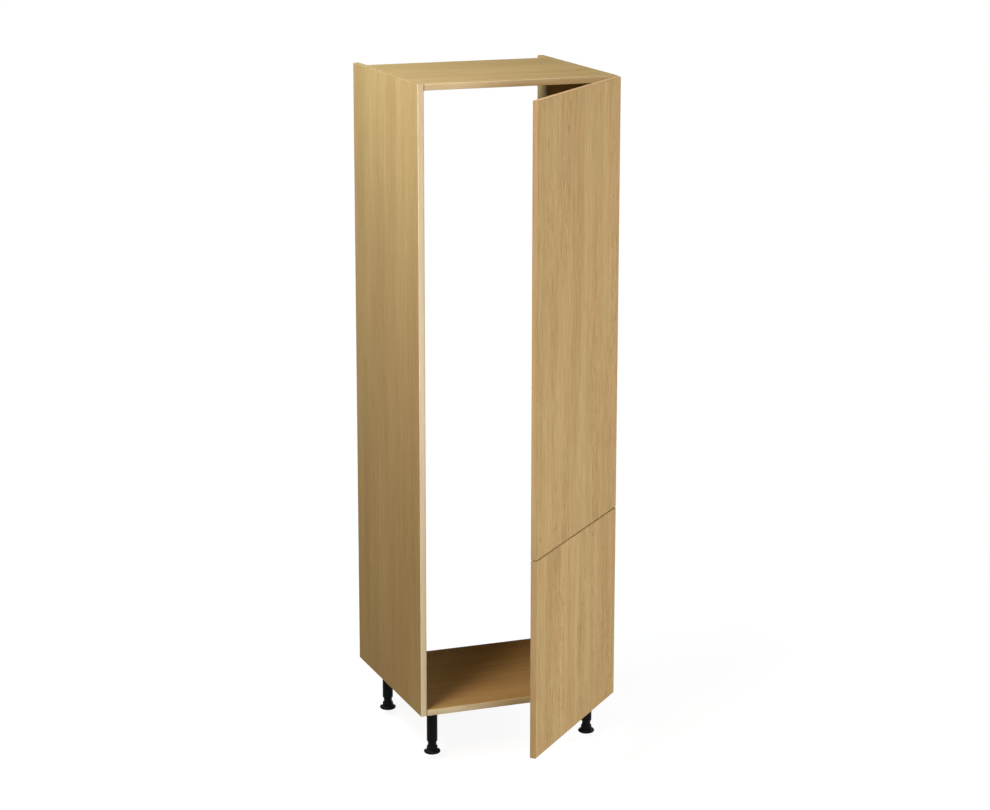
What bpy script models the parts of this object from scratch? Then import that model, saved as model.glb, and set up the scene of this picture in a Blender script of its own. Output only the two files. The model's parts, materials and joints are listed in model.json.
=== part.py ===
"""Tall fridge housing unit: an open-backed carcase on four screw legs, with two doors on concealed hinges.

Units are metres, +Z up. The front faces -Y and the hinges are on the right, at +X. The origin lies on the
floor, at the middle of the whole unit's box with both doors standing part open.

The carcase is four boards held by cam fittings. Each concealed hinge has a mounting plate, an arm, a cup let
into the door, and two links between arm and cup, so that the door moves clear of its neighbour as it turns.
"""

import math

import bmesh
import bpy
from mathutils import Matrix, Vector

# Carcase
WIDTH = 0.600
DEPTH = 0.570
CARCASE_HEIGHT = 1.832
LEG_HEIGHT = 0.138
BOARD = 0.018
REAR_RECESS = 0.070
BOARD_EDGE_ROUND = 0.0005

# Clearances
SEAT_GAP = 0.0003
OVERRUN = 0.004

# Doors
DOOR_THICKNESS = 0.018
DOOR_SIDE_REVEAL = 0.0015
DOOR_TOP_REVEAL = 0.001
DOOR_BOTTOM_REVEAL = 0.004
DOOR_SPACING = 0.003
DOOR_STANDOFF = 0.002
LOWER_DOOR_HEIGHT = 0.570
DOOR_EDGE_ROUND = 0.001
REST_OPENING = math.radians(45.4)
FULL_OPENING = math.radians(100)

# Cam fittings
CAM_RADIUS = 0.0075
CAM_HEIGHT = 0.0125
CAM_REACH = 0.034
CAM_DRIVE_WIDTH = 0.0012
CAM_DRIVE_DEPTH = 0.002
TOP_CAM_INSET = 0.0585
BOTTOM_CAM_INSET = 0.110
BOLT_SHANK_RADIUS = 0.0035
BOLT_NECK_RADIUS = 0.0020
BOLT_HEAD_RADIUS = 0.0032
BOLT_HEAD_LENGTH = 0.0030
BOLT_NECK_LENGTH = 0.0040
BOLT_THREAD_RADIUS = 0.0025
BOLT_THREAD_LENGTH = 0.0110
BOLT_COLLAR_RADIUS = 0.0040
BOLT_COLLAR_LENGTH = 0.0012

# Legs
LEG_SIDE_INSET = 0.055
LEG_FRONT_INSET = 0.061
LEG_REAR_INSET = 0.035
INSERT_RADIUS = 0.0100
INSERT_DEPTH = 0.0130
INSERT_TAPER = 0.0010
STEM_RADIUS = 0.0060
STEM_LENGTH = 0.0250
STEM_CHAMFER = 0.0008
SLEEVE_RADIUS = 0.01575
SLEEVE_CHAMFER = 0.0010
SLEEVE_FOOT_DROP = 0.0370
SLEEVE_BORE_DEPTH = 0.0560
FOOT_RADIUS = 0.0245
FOOT_DOME_HEIGHT = 0.0120
COLLAR_RADIUS = 0.0160
COLLAR_HEIGHT = 0.0100
COLLAR_CHAMFER = 0.0012
THREAD_RADIUS = 0.0130
THREAD_DEPTH = 0.0010
THREAD_PITCH = 0.0050
THREAD_ENGAGEMENT = 0.0360
# Radius and height of the foot's dome, as shares of the foot's radius and of the dome's height.
FOOT_DOME_SHARES = ((0.86, 0.0), (0.97, 0.12), (1.0, 0.34), (0.95, 0.58), (0.80, 0.82), (0.68, 1.0))

# Concealed hinge: the two links and their four pivots
PIN_RADIUS = 0.0010
PIN_PLAY = 0.0003
EYE_WALL = 0.0008
LINK_THICKNESS = 0.0020
OUTER_LINK_WIDTH = 0.0060
CHEEK_WIDTH = 0.0015
ARM_PIVOT_HEIGHT = 0.0217
ARM_PIVOT_SETBACK = 0.0206
GUIDE_PIN_HEIGHT = 0.0280
GUIDE_PIN_SETBACK = 0.0039
INNER_PIVOT_INSET = 0.0094
INNER_PIVOT_DEPTH = 0.0030
OUTER_PIVOT_INSET = 0.0133
OUTER_PIVOT_DEPTH = 0.0054
INNER_LINK_TURN_SHARE = -0.25
OUTER_LINK_TURN_SHARE = -0.22
# Where each link's bend points, along and across the straight line between its ends, as shares of its length.
INNER_BEND_SHARES = (0.23, 0.34)
OUTER_BEND_SHARES = (0.29, 0.32)
LINK_STEPS = 6

# Concealed hinge: cup, arm and mounting plate
CUP_RADIUS = 0.0175
CUP_EDGE_DISTANCE = 0.0225
CUP_DEPTH = 0.0116
CUP_WALL = 0.0008
NOTCH_DEPTH = 0.0010
FLANGE_THICKNESS = 0.0008
FLANGE_LIP = 0.0014
WING_LENGTH = 0.0600
WING_WIDTH = 0.0130
WING_OFFSET = 0.0060
WING_STEP = 0.0001
WING_HOLE_SPACING = 0.0480
WING_HOLE_RADIUS = 0.0022
ARM_LENGTH = 0.0750
ARM_WALL = 0.0012
ARM_EAR = 0.0034
ARM_TAIL_DROP = 0.0060
ARM_TAIL_HEIGHT = 0.0110
ARM_WEB_SETBACK = 0.0140
PLATE_THICKNESS = 0.0020
PLATE_LENGTH = 0.0440
PLATE_SPREAD = 0.0480
PLATE_WAIST = 0.0200
PLATE_CORNER = 0.0020
PLATE_SETBACK = 0.0280
PLATE_HOLE_SETBACK = 0.0370
PLATE_HOLE_SPACING = 0.0320
PLATE_HOLE_RADIUS = 0.0026
BLOCK_SETBACK = 0.0310
BLOCK_LENGTH = 0.0360
BLOCK_OVERLAP = 0.0040
HINGE_END_DISTANCE = 0.100
UPPER_HINGE_COUNT = 3
LOWER_HINGE_COUNT = 2

# Facets
FINE_SIDES = 20
ROUND_SIDES = 16
EYE_SIDES = 11
SMALL_SIDES = 8
SOFT_SEGMENTS = 1
CORNER_ANGLE = math.radians(30)
STRAY_SAMPLES = 24
CIRCLE_STEPS = 400

# Heights and depths that follow from the sizes above
FULL_TURN = 2 * math.pi
TOTAL_HEIGHT = LEG_HEIGHT + CARCASE_HEIGHT
INNER_WIDTH = WIDTH - 2 * BOARD
DOOR_WIDTH = WIDTH - 2 * DOOR_SIDE_REVEAL
DOORS_HEIGHT = CARCASE_HEIGHT - DOOR_TOP_REVEAL - DOOR_BOTTOM_REVEAL
UPPER_DOOR_HEIGHT = DOORS_HEIGHT - DOOR_SPACING - LOWER_DOOR_HEIGHT
EYE_RADIUS = PIN_RADIUS + PIN_PLAY + EYE_WALL
INNER_LINK_WIDTH = OUTER_LINK_WIDTH + 2 * (SEAT_GAP + CHEEK_WIDTH)
ARM_INNER_WIDTH = INNER_LINK_WIDTH + 2 * SEAT_GAP
ARM_OUTER_WIDTH = ARM_INNER_WIDTH + 2 * ARM_WALL

# Colours, roughness and metallic value of each finish
FINISHES = {
    "oak_board": ((0.56, 0.42, 0.22), 0.55, 0.0),
    "oak_door": ((0.53, 0.36, 0.18), 0.50, 0.0),
    "black_plastic": ((0.012, 0.012, 0.012), 0.40, 0.0),
    "nickel_steel": ((0.62, 0.61, 0.58), 0.30, 1.0),
    "zinc_casting": ((0.45, 0.45, 0.46), 0.45, 1.0),
}


def clear_scene():
    """Removes whatever the file holds."""
    for old in list(bpy.data.objects):
        bpy.data.objects.remove(old)


def finish_of(piece, kind):
    """Gives a piece its own material of the named kind."""
    colour, roughness, metallic = FINISHES[kind]
    material = bpy.data.materials.new(piece.name + "_" + kind)
    material.use_nodes = True
    shader = material.node_tree.nodes["Principled BSDF"]
    shader.inputs["Base Color"].default_value = (*colour, 1)
    shader.inputs["Roughness"].default_value = roughness
    shader.inputs["Metallic"].default_value = metallic
    piece.data.materials.clear()
    piece.data.materials.append(material)


def piece_of(name, bm):
    """Makes an object from a bmesh, with its faces turned outwards."""
    bmesh.ops.recalc_face_normals(bm, faces=bm.faces)
    mesh = bpy.data.meshes.new(name)
    bm.to_mesh(mesh)
    bm.free()
    piece = bpy.data.objects.new(name, mesh)
    bpy.context.scene.collection.objects.link(piece)
    return piece


def slab(name, low, high):
    """A plain block between two corners."""
    low, high = Vector(low), Vector(high)
    bm = bmesh.new()
    bmesh.ops.create_cube(bm, size=1)
    bmesh.ops.scale(bm, vec=high - low, verts=bm.verts)
    bmesh.ops.translate(bm, vec=(low + high) / 2, verts=bm.verts)
    return piece_of(name, bm)


def prism(name, outline, low, high):
    """An outline in X and Y, raised from the low level to the high one."""
    bm = bmesh.new()
    base = bm.faces.new([bm.verts.new((x, y, low)) for x, y in outline])
    raised = bmesh.ops.extrude_face_region(bm, geom=[base])["geom"]
    top = [item for item in raised if isinstance(item, bmesh.types.BMVert)]
    bmesh.ops.translate(bm, vec=(0, 0, high - low), verts=top)
    return piece_of(name, bm)


def turned(name, profile, sides):
    """A profile of radii and heights, turned about its own Z axis. It starts and ends on the axis."""
    bm = bmesh.new()
    points = [bm.verts.new((radius, 0, height)) for radius, height in profile]
    lines = [bm.edges.new(pair) for pair in zip(points, points[1:])]
    bmesh.ops.spin(bm, geom=points + lines, cent=(0, 0, 0), axis=(0, 0, 1), angle=FULL_TURN, steps=sides)
    bmesh.ops.remove_doubles(bm, verts=bm.verts, dist=PIN_PLAY / 100)
    return piece_of(name, bm)


def rod(name, radius, start, end, sides):
    """A round bar between two points."""
    start, end = Vector(start), Vector(end)
    length = (end - start).length
    bar = turned(name, ((0, 0), (radius, 0), (radius, length), (0, length)), sides)
    turn = Vector((0, 0, 1)).rotation_difference(end - start).to_matrix().to_4x4()
    bar.data.transform(Matrix.Translation(start) @ turn)
    return bar


def combine(target, tool, operation):
    """Cuts or joins one piece with another, which stays as a hidden tool."""
    modifier = target.modifiers.new(tool.name, "BOOLEAN")
    modifier.operation = operation
    modifier.solver = "EXACT"
    modifier.object = tool
    tool.hide_render = True
    tool.display_type = "WIRE"


def cut(target, *tools):
    """Takes each tool's shape out of the target."""
    for tool in tools:
        combine(target, tool, "DIFFERENCE")


def join(target, *tools):
    """Adds each tool's shape to the target."""
    for tool in tools:
        combine(target, tool, "UNION")


def finished_mesh(target):
    """The target's mesh with its cuts and joins made. The target and its tools are cleared away."""
    graph = bpy.context.evaluated_depsgraph_get()
    mesh = bpy.data.meshes.new_from_object(target.evaluated_get(graph), depsgraph=graph)
    tools = [modifier.object for modifier in target.modifiers if modifier.type == "BOOLEAN"]
    for used in [target, *tools]:
        bpy.data.objects.remove(used)
    return mesh


def placed(name, mesh, kind, location, turn=0):
    """A copy of a finished mesh as its own piece, at its place."""
    piece = bpy.data.objects.new(name, mesh.copy())
    bpy.context.scene.collection.objects.link(piece)
    piece.location = location
    piece.rotation_euler.z = turn
    smooth(piece)
    finish_of(piece, kind)
    return piece


def smooth(piece):
    """Shades a piece smooth, apart from its true corners."""
    piece.data.shade_smooth()
    piece.data.set_sharp_from_angle(angle=CORNER_ANGLE)


def soften(piece, width):
    """Rounds the edges of a board."""
    bevel = piece.modifiers.new("soft_edges", "BEVEL")
    bevel.width = width
    bevel.segments = SOFT_SEGMENTS
    bevel.limit_method = "ANGLE"


# The plane of the linkage


def turned_about(point, centre, angle):
    """A point of the plan turned about a centre."""
    return centre + Matrix.Rotation(angle, 2) @ (point - centre)


def arm_pivot():
    """The inner link's pivot in the arm, from the corner of the right-hand side panel."""
    return Vector((-BOARD - ARM_PIVOT_HEIGHT, ARM_PIVOT_SETBACK))


def guide_pin():
    """The arm's front pin, which the outer link's ring goes round."""
    return Vector((-BOARD - GUIDE_PIN_HEIGHT, GUIDE_PIN_SETBACK))


def inner_pivot():
    """The inner link's pivot in the cup, with the door shut."""
    return Vector((-DOOR_SIDE_REVEAL - INNER_PIVOT_INSET, -DOOR_STANDOFF - INNER_PIVOT_DEPTH))


def outer_pivot():
    """The outer link's pivot in the cup, with the door shut."""
    return Vector((-DOOR_SIDE_REVEAL - OUTER_PIVOT_INSET, -DOOR_STANDOFF - OUTER_PIVOT_DEPTH))


def cup_centre():
    """The middle of the cup's mouth, with the door shut."""
    return Vector((-DOOR_SIDE_REVEAL - CUP_EDGE_DISTANCE, -DOOR_STANDOFF))


def opened(point, opening):
    """Where a point of the shut door goes when the door opens by an angle."""
    pivot = turned_about(inner_pivot(), arm_pivot(), INNER_LINK_TURN_SHARE * opening)
    return pivot + Matrix.Rotation(opening, 2) @ (point - inner_pivot())


def openings():
    """Door angles spread evenly from shut to wide open."""
    return [FULL_OPENING * step / STRAY_SAMPLES for step in range(STRAY_SAMPLES + 1)]


def outer_reach():
    """From the outer link's pivot to its ring's centre, with the door shut: the middle of the smallest circle
    round all the places where the guide pin would have the ring."""
    wanted = []
    for opening in openings():
        back = Matrix.Rotation(-OUTER_LINK_TURN_SHARE * opening, 2)
        wanted.append(back @ (guide_pin() - opened(outer_pivot(), opening)))
    middle = wanted[0]
    for step in range(CIRCLE_STEPS):
        farthest = max(wanted, key=lambda place: (place - middle).length)
        middle = middle + (farthest - middle) / (step + 2)
    return middle


def ring_stray():
    """How far the ring's centre strays from the guide pin at most."""
    strays = []
    for opening in openings():
        arm = Matrix.Rotation(OUTER_LINK_TURN_SHARE * opening, 2) @ outer_reach()
        strays.append((opened(outer_pivot(), opening) + arm - guide_pin()).length)
    return max(strays)


def front_y():
    """The carcase's front plane, set so that the whole unit's box is centred on the origin."""
    free_corner = Vector((-DOOR_SIDE_REVEAL - DOOR_WIDTH, -DOOR_STANDOFF - DOOR_THICKNESS))
    foremost = opened(free_corner, REST_OPENING).y
    return -(foremost + DEPTH) / 2


def world(point, height):
    """A point of the plan, from the right-hand front corner, as a place in the unit."""
    return Vector((WIDTH / 2 + point.x, front_y() + point.y, height))


# Carcase


def side_panel(name, side):
    """A side board, drilled for the cam bolts. Side is 1 on the right and -1 on the left."""
    low = Vector((-BOARD / 2, 0, 0))
    high = Vector((BOARD / 2, DEPTH, CARCASE_HEIGHT))
    panel = slab(name, low, high)
    panel.location = (side * (WIDTH - BOARD) / 2, front_y(), LEG_HEIGHT)
    soften(panel, BOARD_EDGE_ROUND)
    for place in cam_places():
        inner_face = Vector((side * INNER_WIDTH / 2, place[1], place[2]))
        end = inner_face + Vector((side * (BOLT_THREAD_LENGTH + SEAT_GAP), 0, 0))
        start = inner_face - Vector((side * OVERRUN, 0, 0))
        radius = BOLT_THREAD_RADIUS + SEAT_GAP
        cut(panel, rod(f"{name}_bolt_hole_{place[0]}", radius, start, end, SMALL_SIDES))
    smooth(panel)
    finish_of(panel, "oak_board")
    return panel


def cross_panel(name, level, cam_face, legs):
    """A top or bottom board between the sides. Cam_face is 1 where the cams go in from above, -1 from below."""
    half = INNER_WIDTH / 2 - SEAT_GAP
    panel = slab(name, (-half, 0, 0), (half, DEPTH - REAR_RECESS, BOARD))
    panel.location = (0, front_y(), level)
    soften(panel, BOARD_EDGE_ROUND)
    for label, y, z in cam_places():
        if abs(z - level - BOARD / 2) < BOARD:
            for side in (-1, 1):
                cut(panel, *cam_bores(f"{name}_{label}_{side}", side, y, z, cam_face))
    if legs:
        for label, x, y in leg_places():
            bottom = Vector((x, y, level - OVERRUN))
            top = Vector((x, y, level + INSERT_DEPTH + SEAT_GAP))
            cut(panel, rod(f"{name}_{label}_bore", INSERT_RADIUS + SEAT_GAP, bottom, top, ROUND_SIDES))
    smooth(panel)
    finish_of(panel, "oak_board")
    return panel


def cam_places():
    """Label, Y and Z of each row of cam bolts: two along each end of the top and of the bottom."""
    rear = front_y() + DEPTH - REAR_RECESS
    top = TOTAL_HEIGHT - BOARD / 2
    bottom = LEG_HEIGHT + BOARD / 2
    return (
        ("top_front", front_y() + TOP_CAM_INSET, top),
        ("top_rear", rear - TOP_CAM_INSET, top),
        ("bottom_front", front_y() + BOTTOM_CAM_INSET, bottom),
        ("bottom_rear", rear - BOTTOM_CAM_INSET, bottom),
    )


def cam_bores(name, side, y, z, cam_face):
    """The cam's bore in a board's face, and the bolt's bore in its end."""
    end_face = side * INNER_WIDTH / 2
    centre_x = end_face - side * CAM_REACH
    mouth = Vector((centre_x, y, z + cam_face * (BOARD / 2 + OVERRUN)))
    floor = Vector((centre_x, y, z + cam_face * (BOARD / 2 - CAM_HEIGHT - SEAT_GAP)))
    cam_bore = rod(name + "_cam_bore", CAM_RADIUS + SEAT_GAP, floor, mouth, ROUND_SIDES)
    outside = Vector((end_face + side * OVERRUN, y, z))
    inside = Vector((centre_x + side * BOLT_HEAD_LENGTH, y, z))
    bolt_bore = rod(name + "_bolt_bore", BOLT_COLLAR_RADIUS + SEAT_GAP, inside, outside, SMALL_SIDES)
    return cam_bore, bolt_bore


def cam_mesh():
    """The cam disc, slotted across for the bolt's head, with a cross drive in its face."""
    middle = CAM_HEIGHT - BOARD / 2
    face = Vector((0, 0, CAM_HEIGHT))
    disc = turned("cam", ((0, 0), (CAM_RADIUS, 0), (CAM_RADIUS, CAM_HEIGHT), (0, CAM_HEIGHT)), ROUND_SIDES)
    slot = BOLT_HEAD_RADIUS + SEAT_GAP
    reach = Vector((CAM_RADIUS + OVERRUN, slot, slot + middle))
    cut(disc, slab("cam_slot", (-BOLT_HEAD_LENGTH, -slot, middle - slot), reach))
    arm = Vector((CAM_RADIUS / 2, CAM_DRIVE_WIDTH / 2, OVERRUN))
    floor = Vector((-CAM_RADIUS / 2, -CAM_DRIVE_WIDTH / 2, -CAM_DRIVE_DEPTH))
    cut(disc, slab("cam_drive", face + floor, face + arm))
    return finished_mesh(disc)


def bolt_mesh():
    """The cam bolt along X: thread in the side panel, collar, shank, neck and head in the cam."""
    head_end = CAM_REACH + BOLT_HEAD_LENGTH / 2
    neck_end = head_end - BOLT_HEAD_LENGTH
    shank_end = neck_end - BOLT_NECK_LENGTH
    profile = (
        (0, -BOLT_THREAD_LENGTH),
        (BOLT_THREAD_RADIUS, -BOLT_THREAD_LENGTH),
        (BOLT_THREAD_RADIUS, SEAT_GAP),
        (BOLT_COLLAR_RADIUS, SEAT_GAP),
        (BOLT_COLLAR_RADIUS, SEAT_GAP + BOLT_COLLAR_LENGTH),
        (BOLT_SHANK_RADIUS, SEAT_GAP + BOLT_COLLAR_LENGTH),
        (BOLT_SHANK_RADIUS, shank_end),
        (BOLT_NECK_RADIUS, shank_end),
        (BOLT_NECK_RADIUS, neck_end),
        (BOLT_HEAD_RADIUS, neck_end),
        (BOLT_HEAD_RADIUS, head_end),
        (0, head_end),
    )
    bolt = turned("bolt", profile, SMALL_SIDES)
    bolt.data.transform(Matrix.Rotation(-math.pi / 2, 4, "Y"))
    return finished_mesh(bolt)


def cam_fittings():
    """A cam and its bolt at each end of each row. The bolts point inwards from the side panels."""
    cam = cam_mesh()
    bolt = bolt_mesh()
    for label, y, z in cam_places():
        from_above = label.startswith("top")
        for hand, side in (("left", -1), ("right", 1)):
            inner_face = side * INNER_WIDTH / 2
            turn = 0 if side == 1 else math.pi
            face_z = z + BOARD / 2 - CAM_HEIGHT if from_above else z - BOARD / 2 + CAM_HEIGHT
            place = (inner_face - side * CAM_REACH, y, face_z)
            piece = placed(f"cam_{label}_{hand}", cam, "zinc_casting", place, turn)
            piece.rotation_euler.x = 0 if from_above else math.pi
            placed(f"cam_bolt_{label}_{hand}", bolt, "nickel_steel", (inner_face, y, z), turn)


# Legs


def leg_places():
    """Label, X and Y of each leg."""
    rear = front_y() + DEPTH - REAR_RECESS - LEG_REAR_INSET
    places = []
    for hand, side in (("left", -1), ("right", 1)):
        x = side * (WIDTH / 2 - LEG_SIDE_INSET)
        places.append((f"front_{hand}", x, front_y() + LEG_FRONT_INSET))
        places.append((f"rear_{hand}", x, rear))
    return places


def insert_mesh():
    """The plug in the bottom board, with the stem that the sleeve is pushed on to. Its Z is 0 at the board's
    underside."""
    profile = (
        (0, -STEM_LENGTH),
        (STEM_RADIUS - STEM_CHAMFER, -STEM_LENGTH),
        (STEM_RADIUS, STEM_CHAMFER - STEM_LENGTH),
        (STEM_RADIUS, 0),
        (INSERT_RADIUS, 0),
        (INSERT_RADIUS, INSERT_DEPTH - INSERT_TAPER),
        (INSERT_RADIUS - INSERT_TAPER, INSERT_DEPTH),
        (0, INSERT_DEPTH),
    )
    return finished_mesh(turned("insert", profile, ROUND_SIDES))


def sleeve_mesh():
    """The leg's tube, from just under the board down to the foot's thread. Its Z is 0 at the floor."""
    top = LEG_HEIGHT - SEAT_GAP
    low = SLEEVE_FOOT_DROP
    bore = THREAD_RADIUS + SEAT_GAP
    socket = STEM_RADIUS + SEAT_GAP
    profile = (
        (0, low + SLEEVE_BORE_DEPTH),
        (bore, low + SLEEVE_BORE_DEPTH),
        (bore, low),
        (SLEEVE_RADIUS - SLEEVE_CHAMFER, low),
        (SLEEVE_RADIUS, low + SLEEVE_CHAMFER),
        (SLEEVE_RADIUS, top),
        (socket, top),
        (socket, LEG_HEIGHT - STEM_LENGTH - SEAT_GAP),
        (0, LEG_HEIGHT - STEM_LENGTH - SEAT_GAP),
    )
    return finished_mesh(turned("sleeve", profile, ROUND_SIDES))


def foot_mesh():
    """The foot: domed disc, collar, and the thread that screws up into the sleeve. Its Z is 0 at the floor."""
    collar_top = FOOT_DOME_HEIGHT + COLLAR_HEIGHT
    profile = [(0, 0)]
    profile += [(FOOT_RADIUS * radius, FOOT_DOME_HEIGHT * height) for radius, height in FOOT_DOME_SHARES]
    profile.append((COLLAR_RADIUS, FOOT_DOME_HEIGHT + COLLAR_CHAMFER))
    profile.append((COLLAR_RADIUS, collar_top - COLLAR_CHAMFER))
    profile.append((COLLAR_RADIUS - COLLAR_CHAMFER, collar_top))
    ring = collar_top
    while ring + THREAD_PITCH <= SLEEVE_FOOT_DROP + THREAD_DEPTH:
        profile.append((THREAD_RADIUS - THREAD_DEPTH, ring + THREAD_DEPTH))
        profile.append((THREAD_RADIUS - THREAD_DEPTH, ring + THREAD_PITCH / 2))
        profile.append((THREAD_RADIUS, ring + THREAD_PITCH / 2 + THREAD_DEPTH))
        profile.append((THREAD_RADIUS, ring + THREAD_PITCH))
        ring += THREAD_PITCH
    profile.append((THREAD_RADIUS, SLEEVE_FOOT_DROP + THREAD_ENGAGEMENT))
    profile.append((0, SLEEVE_FOOT_DROP + THREAD_ENGAGEMENT))
    return finished_mesh(turned("foot", profile, ROUND_SIDES))


def legs():
    """Four legs, each an insert, a sleeve and a screw foot."""
    insert = insert_mesh()
    sleeve = sleeve_mesh()
    foot = foot_mesh()
    for label, x, y in leg_places():
        placed(f"leg_insert_{label}", insert, "black_plastic", (x, y, LEG_HEIGHT))
        placed(f"leg_sleeve_{label}", sleeve, "black_plastic", (x, y, 0))
        placed(f"leg_foot_{label}", foot, "black_plastic", (x, y, 0))


# Concealed hinges


def bend_of(start, end, shares):
    """The bend's control point, from its shares along and across the line between the ends."""
    along = end - start
    across = Vector((-along.y, along.x))
    return start + along * shares[0] + across * shares[1]


def arc(centre, radius, start, end, steps):
    """Points round part of a circle, from one angle to the other."""
    angles = [start + (end - start) * step / steps for step in range(steps + 1)]
    return [centre + radius * Vector((math.cos(angle), math.sin(angle))) for angle in angles]


def link_outline(start, bend, end, start_radius, end_radius):
    """A link seen from above: a bent band of even thickness with a round eye at each end."""
    half = LINK_THICKNESS / 2
    right, left = [], []
    for step in range(1, LINK_STEPS):
        t = step / LINK_STEPS
        point = (1 - t) ** 2 * start + 2 * t * (1 - t) * bend + t**2 * end
        heading = ((1 - t) * (bend - start) + t * (end - bend)).normalized()
        clear_of_start = (point - start).length > start_radius + half
        if clear_of_start and (point - end).length > end_radius + half:
            right.append(point + half * Vector((heading.y, -heading.x)))
            left.append(point + half * Vector((-heading.y, heading.x)))
    back = math.atan2(bend.y - end.y, bend.x - end.x)
    ahead = math.atan2(bend.y - start.y, bend.x - start.x)
    end_part, start_part = math.asin(half / end_radius), math.asin(half / start_radius)
    end_eye = arc(end, end_radius, back + end_part, back + FULL_TURN - end_part, EYE_SIDES)
    start_eye = arc(start, start_radius, ahead + start_part, ahead + FULL_TURN - start_part, EYE_SIDES)
    return [(point.x, point.y) for point in right + end_eye + left[::-1] + start_eye]


def upright(name, centre, radius, width, sides=SMALL_SIDES):
    """A round bar along Z about a point of the plan, centred on the hinge's middle height."""
    low = Vector((centre.x, centre.y, -width / 2))
    high = Vector((centre.x, centre.y, width / 2))
    return rod(name, radius, low, high, sides)


def inner_link_mesh():
    """The link that carries the door: two cheeks joined by the tubes at its two pivots. It is drawn with the
    door shut, from the arm pivot."""
    arm_end = Vector((0, 0))
    cup_end = inner_pivot() - arm_pivot()
    bend = bend_of(cup_end, arm_end, INNER_BEND_SHARES)
    outline = link_outline(cup_end, bend, arm_end, EYE_RADIUS, EYE_RADIUS)
    half = INNER_LINK_WIDTH / 2
    link = prism("low_cheek", outline, -half, CHEEK_WIDTH - half)
    join(link, prism("high_cheek", outline, half - CHEEK_WIDTH, half))
    tube_radius = EYE_RADIUS - EYE_WALL / 4
    for label, centre in (("arm_tube", arm_end), ("cup_tube", cup_end)):
        join(link, upright(label, centre, tube_radius, INNER_LINK_WIDTH - CHEEK_WIDTH))
    for label, centre in (("arm_bore", arm_end), ("cup_bore", cup_end)):
        cut(link, upright(label, centre, PIN_RADIUS + PIN_PLAY, INNER_LINK_WIDTH + OVERRUN))
    return finished_mesh(link)


def outer_link_mesh():
    """The link that guides the door: a narrow strip between the inner link's cheeks, with a ring that goes
    loosely round the arm's guide pin. It is drawn with the door shut, from its pivot in the cup."""
    cup_end = Vector((0, 0))
    ring_end = outer_reach()
    ring_bore = ring_stray() + PIN_RADIUS + PIN_PLAY
    bend = bend_of(cup_end, ring_end, OUTER_BEND_SHARES)
    outline = link_outline(cup_end, bend, ring_end, EYE_RADIUS, ring_bore + EYE_WALL)
    link = prism("outer_link", outline, -OUTER_LINK_WIDTH / 2, OUTER_LINK_WIDTH / 2)
    width = OUTER_LINK_WIDTH + OVERRUN
    cut(link, upright("cup_bore", cup_end, PIN_RADIUS + PIN_PLAY, width))
    cut(link, upright("ring_bore", ring_end, ring_bore, width, EYE_SIDES))
    return finished_mesh(link)


def capsule_outline(centre_x, width, length):
    """A band along Y with round ends."""
    radius = width / 2
    straight = length / 2 - radius
    points = []
    for end in (1, -1):
        for step in range(ROUND_SIDES // 4 + 1):
            angle = math.pi * step / (ROUND_SIDES // 4)
            x = centre_x + end * radius * math.cos(angle)
            points.append((x, end * (straight + radius * math.sin(angle))))
    return points


def cup_mesh():
    """The cup, drawn with its mouth upwards at Z 0 on the door's inner face and the hinge's height along Y.
    It has a rim with two wings, notches where the links pass over its wall, one with the door wide open and one
    with it shut, and the two pins that the links turn on."""
    shell = CUP_RADIUS - SEAT_GAP
    bore = shell - CUP_WALL
    rim = SEAT_GAP + FLANGE_THICKNESS
    profile = (
        (0, -CUP_DEPTH),
        (shell, -CUP_DEPTH),
        (shell, SEAT_GAP),
        (CUP_RADIUS + FLANGE_LIP, SEAT_GAP),
        (CUP_RADIUS + FLANGE_LIP, rim),
        (bore, rim),
        (bore, CUP_WALL - CUP_DEPTH),
        (0, CUP_WALL - CUP_DEPTH),
    )
    cup = turned("cup", profile, FINE_SIDES)
    low, high = SEAT_GAP + WING_STEP, rim - WING_STEP
    wings = prism("wings", capsule_outline(-WING_OFFSET, WING_WIDTH, WING_LENGTH), low, high)
    for side in (-1, 1):
        y = side * WING_HOLE_SPACING / 2
        below, above = Vector((-WING_OFFSET, y, -OVERRUN)), Vector((-WING_OFFSET, y, OVERRUN))
        cut(wings, rod(f"wing_hole_{side}", WING_HOLE_RADIUS, below, above, SMALL_SIDES))
    mouth = rod("mouth", CUP_RADIUS, (0, 0, -OVERRUN), (0, 0, OVERRUN), FINE_SIDES)
    cut(wings, mouth)
    join(cup, wings)
    half = ARM_OUTER_WIDTH / 2
    inside = bore * math.cos(math.asin(half / bore)) - OVERRUN
    outside = CUP_RADIUS + OVERRUN
    cut(cup, slab("open_notch", (inside, -half, -NOTCH_DEPTH), (outside, half, rim + OVERRUN)))
    half = OUTER_LINK_WIDTH / 2 + CHEEK_WIDTH
    cut(cup, slab("shut_notch", (-outside, -half, -NOTCH_DEPTH), (-inside, half, rim + OVERRUN)))
    for label, pivot in (("inner", inner_pivot()), ("outer", outer_pivot())):
        x, z = pivot - cup_centre()
        reach = math.sqrt((shell - CUP_WALL / 4) ** 2 - (abs(x) + PIN_RADIUS) ** 2)
        join(cup, rod(f"{label}_pin", PIN_RADIUS, (x, -reach, z), (x, reach, z), SMALL_SIDES))
    mesh = finished_cup(cup, wings)
    mesh.transform(Matrix.Rotation(-math.pi / 2, 4, "X"))
    return mesh


def finished_cup(cup, wings):
    """Bakes the cup while its wings still hold their own cuts, then clears the wings' tools away."""
    tools = [modifier.object for modifier in wings.modifiers]
    mesh = finished_mesh(cup)
    for tool in tools:
        bpy.data.objects.remove(tool)
    return mesh


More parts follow.
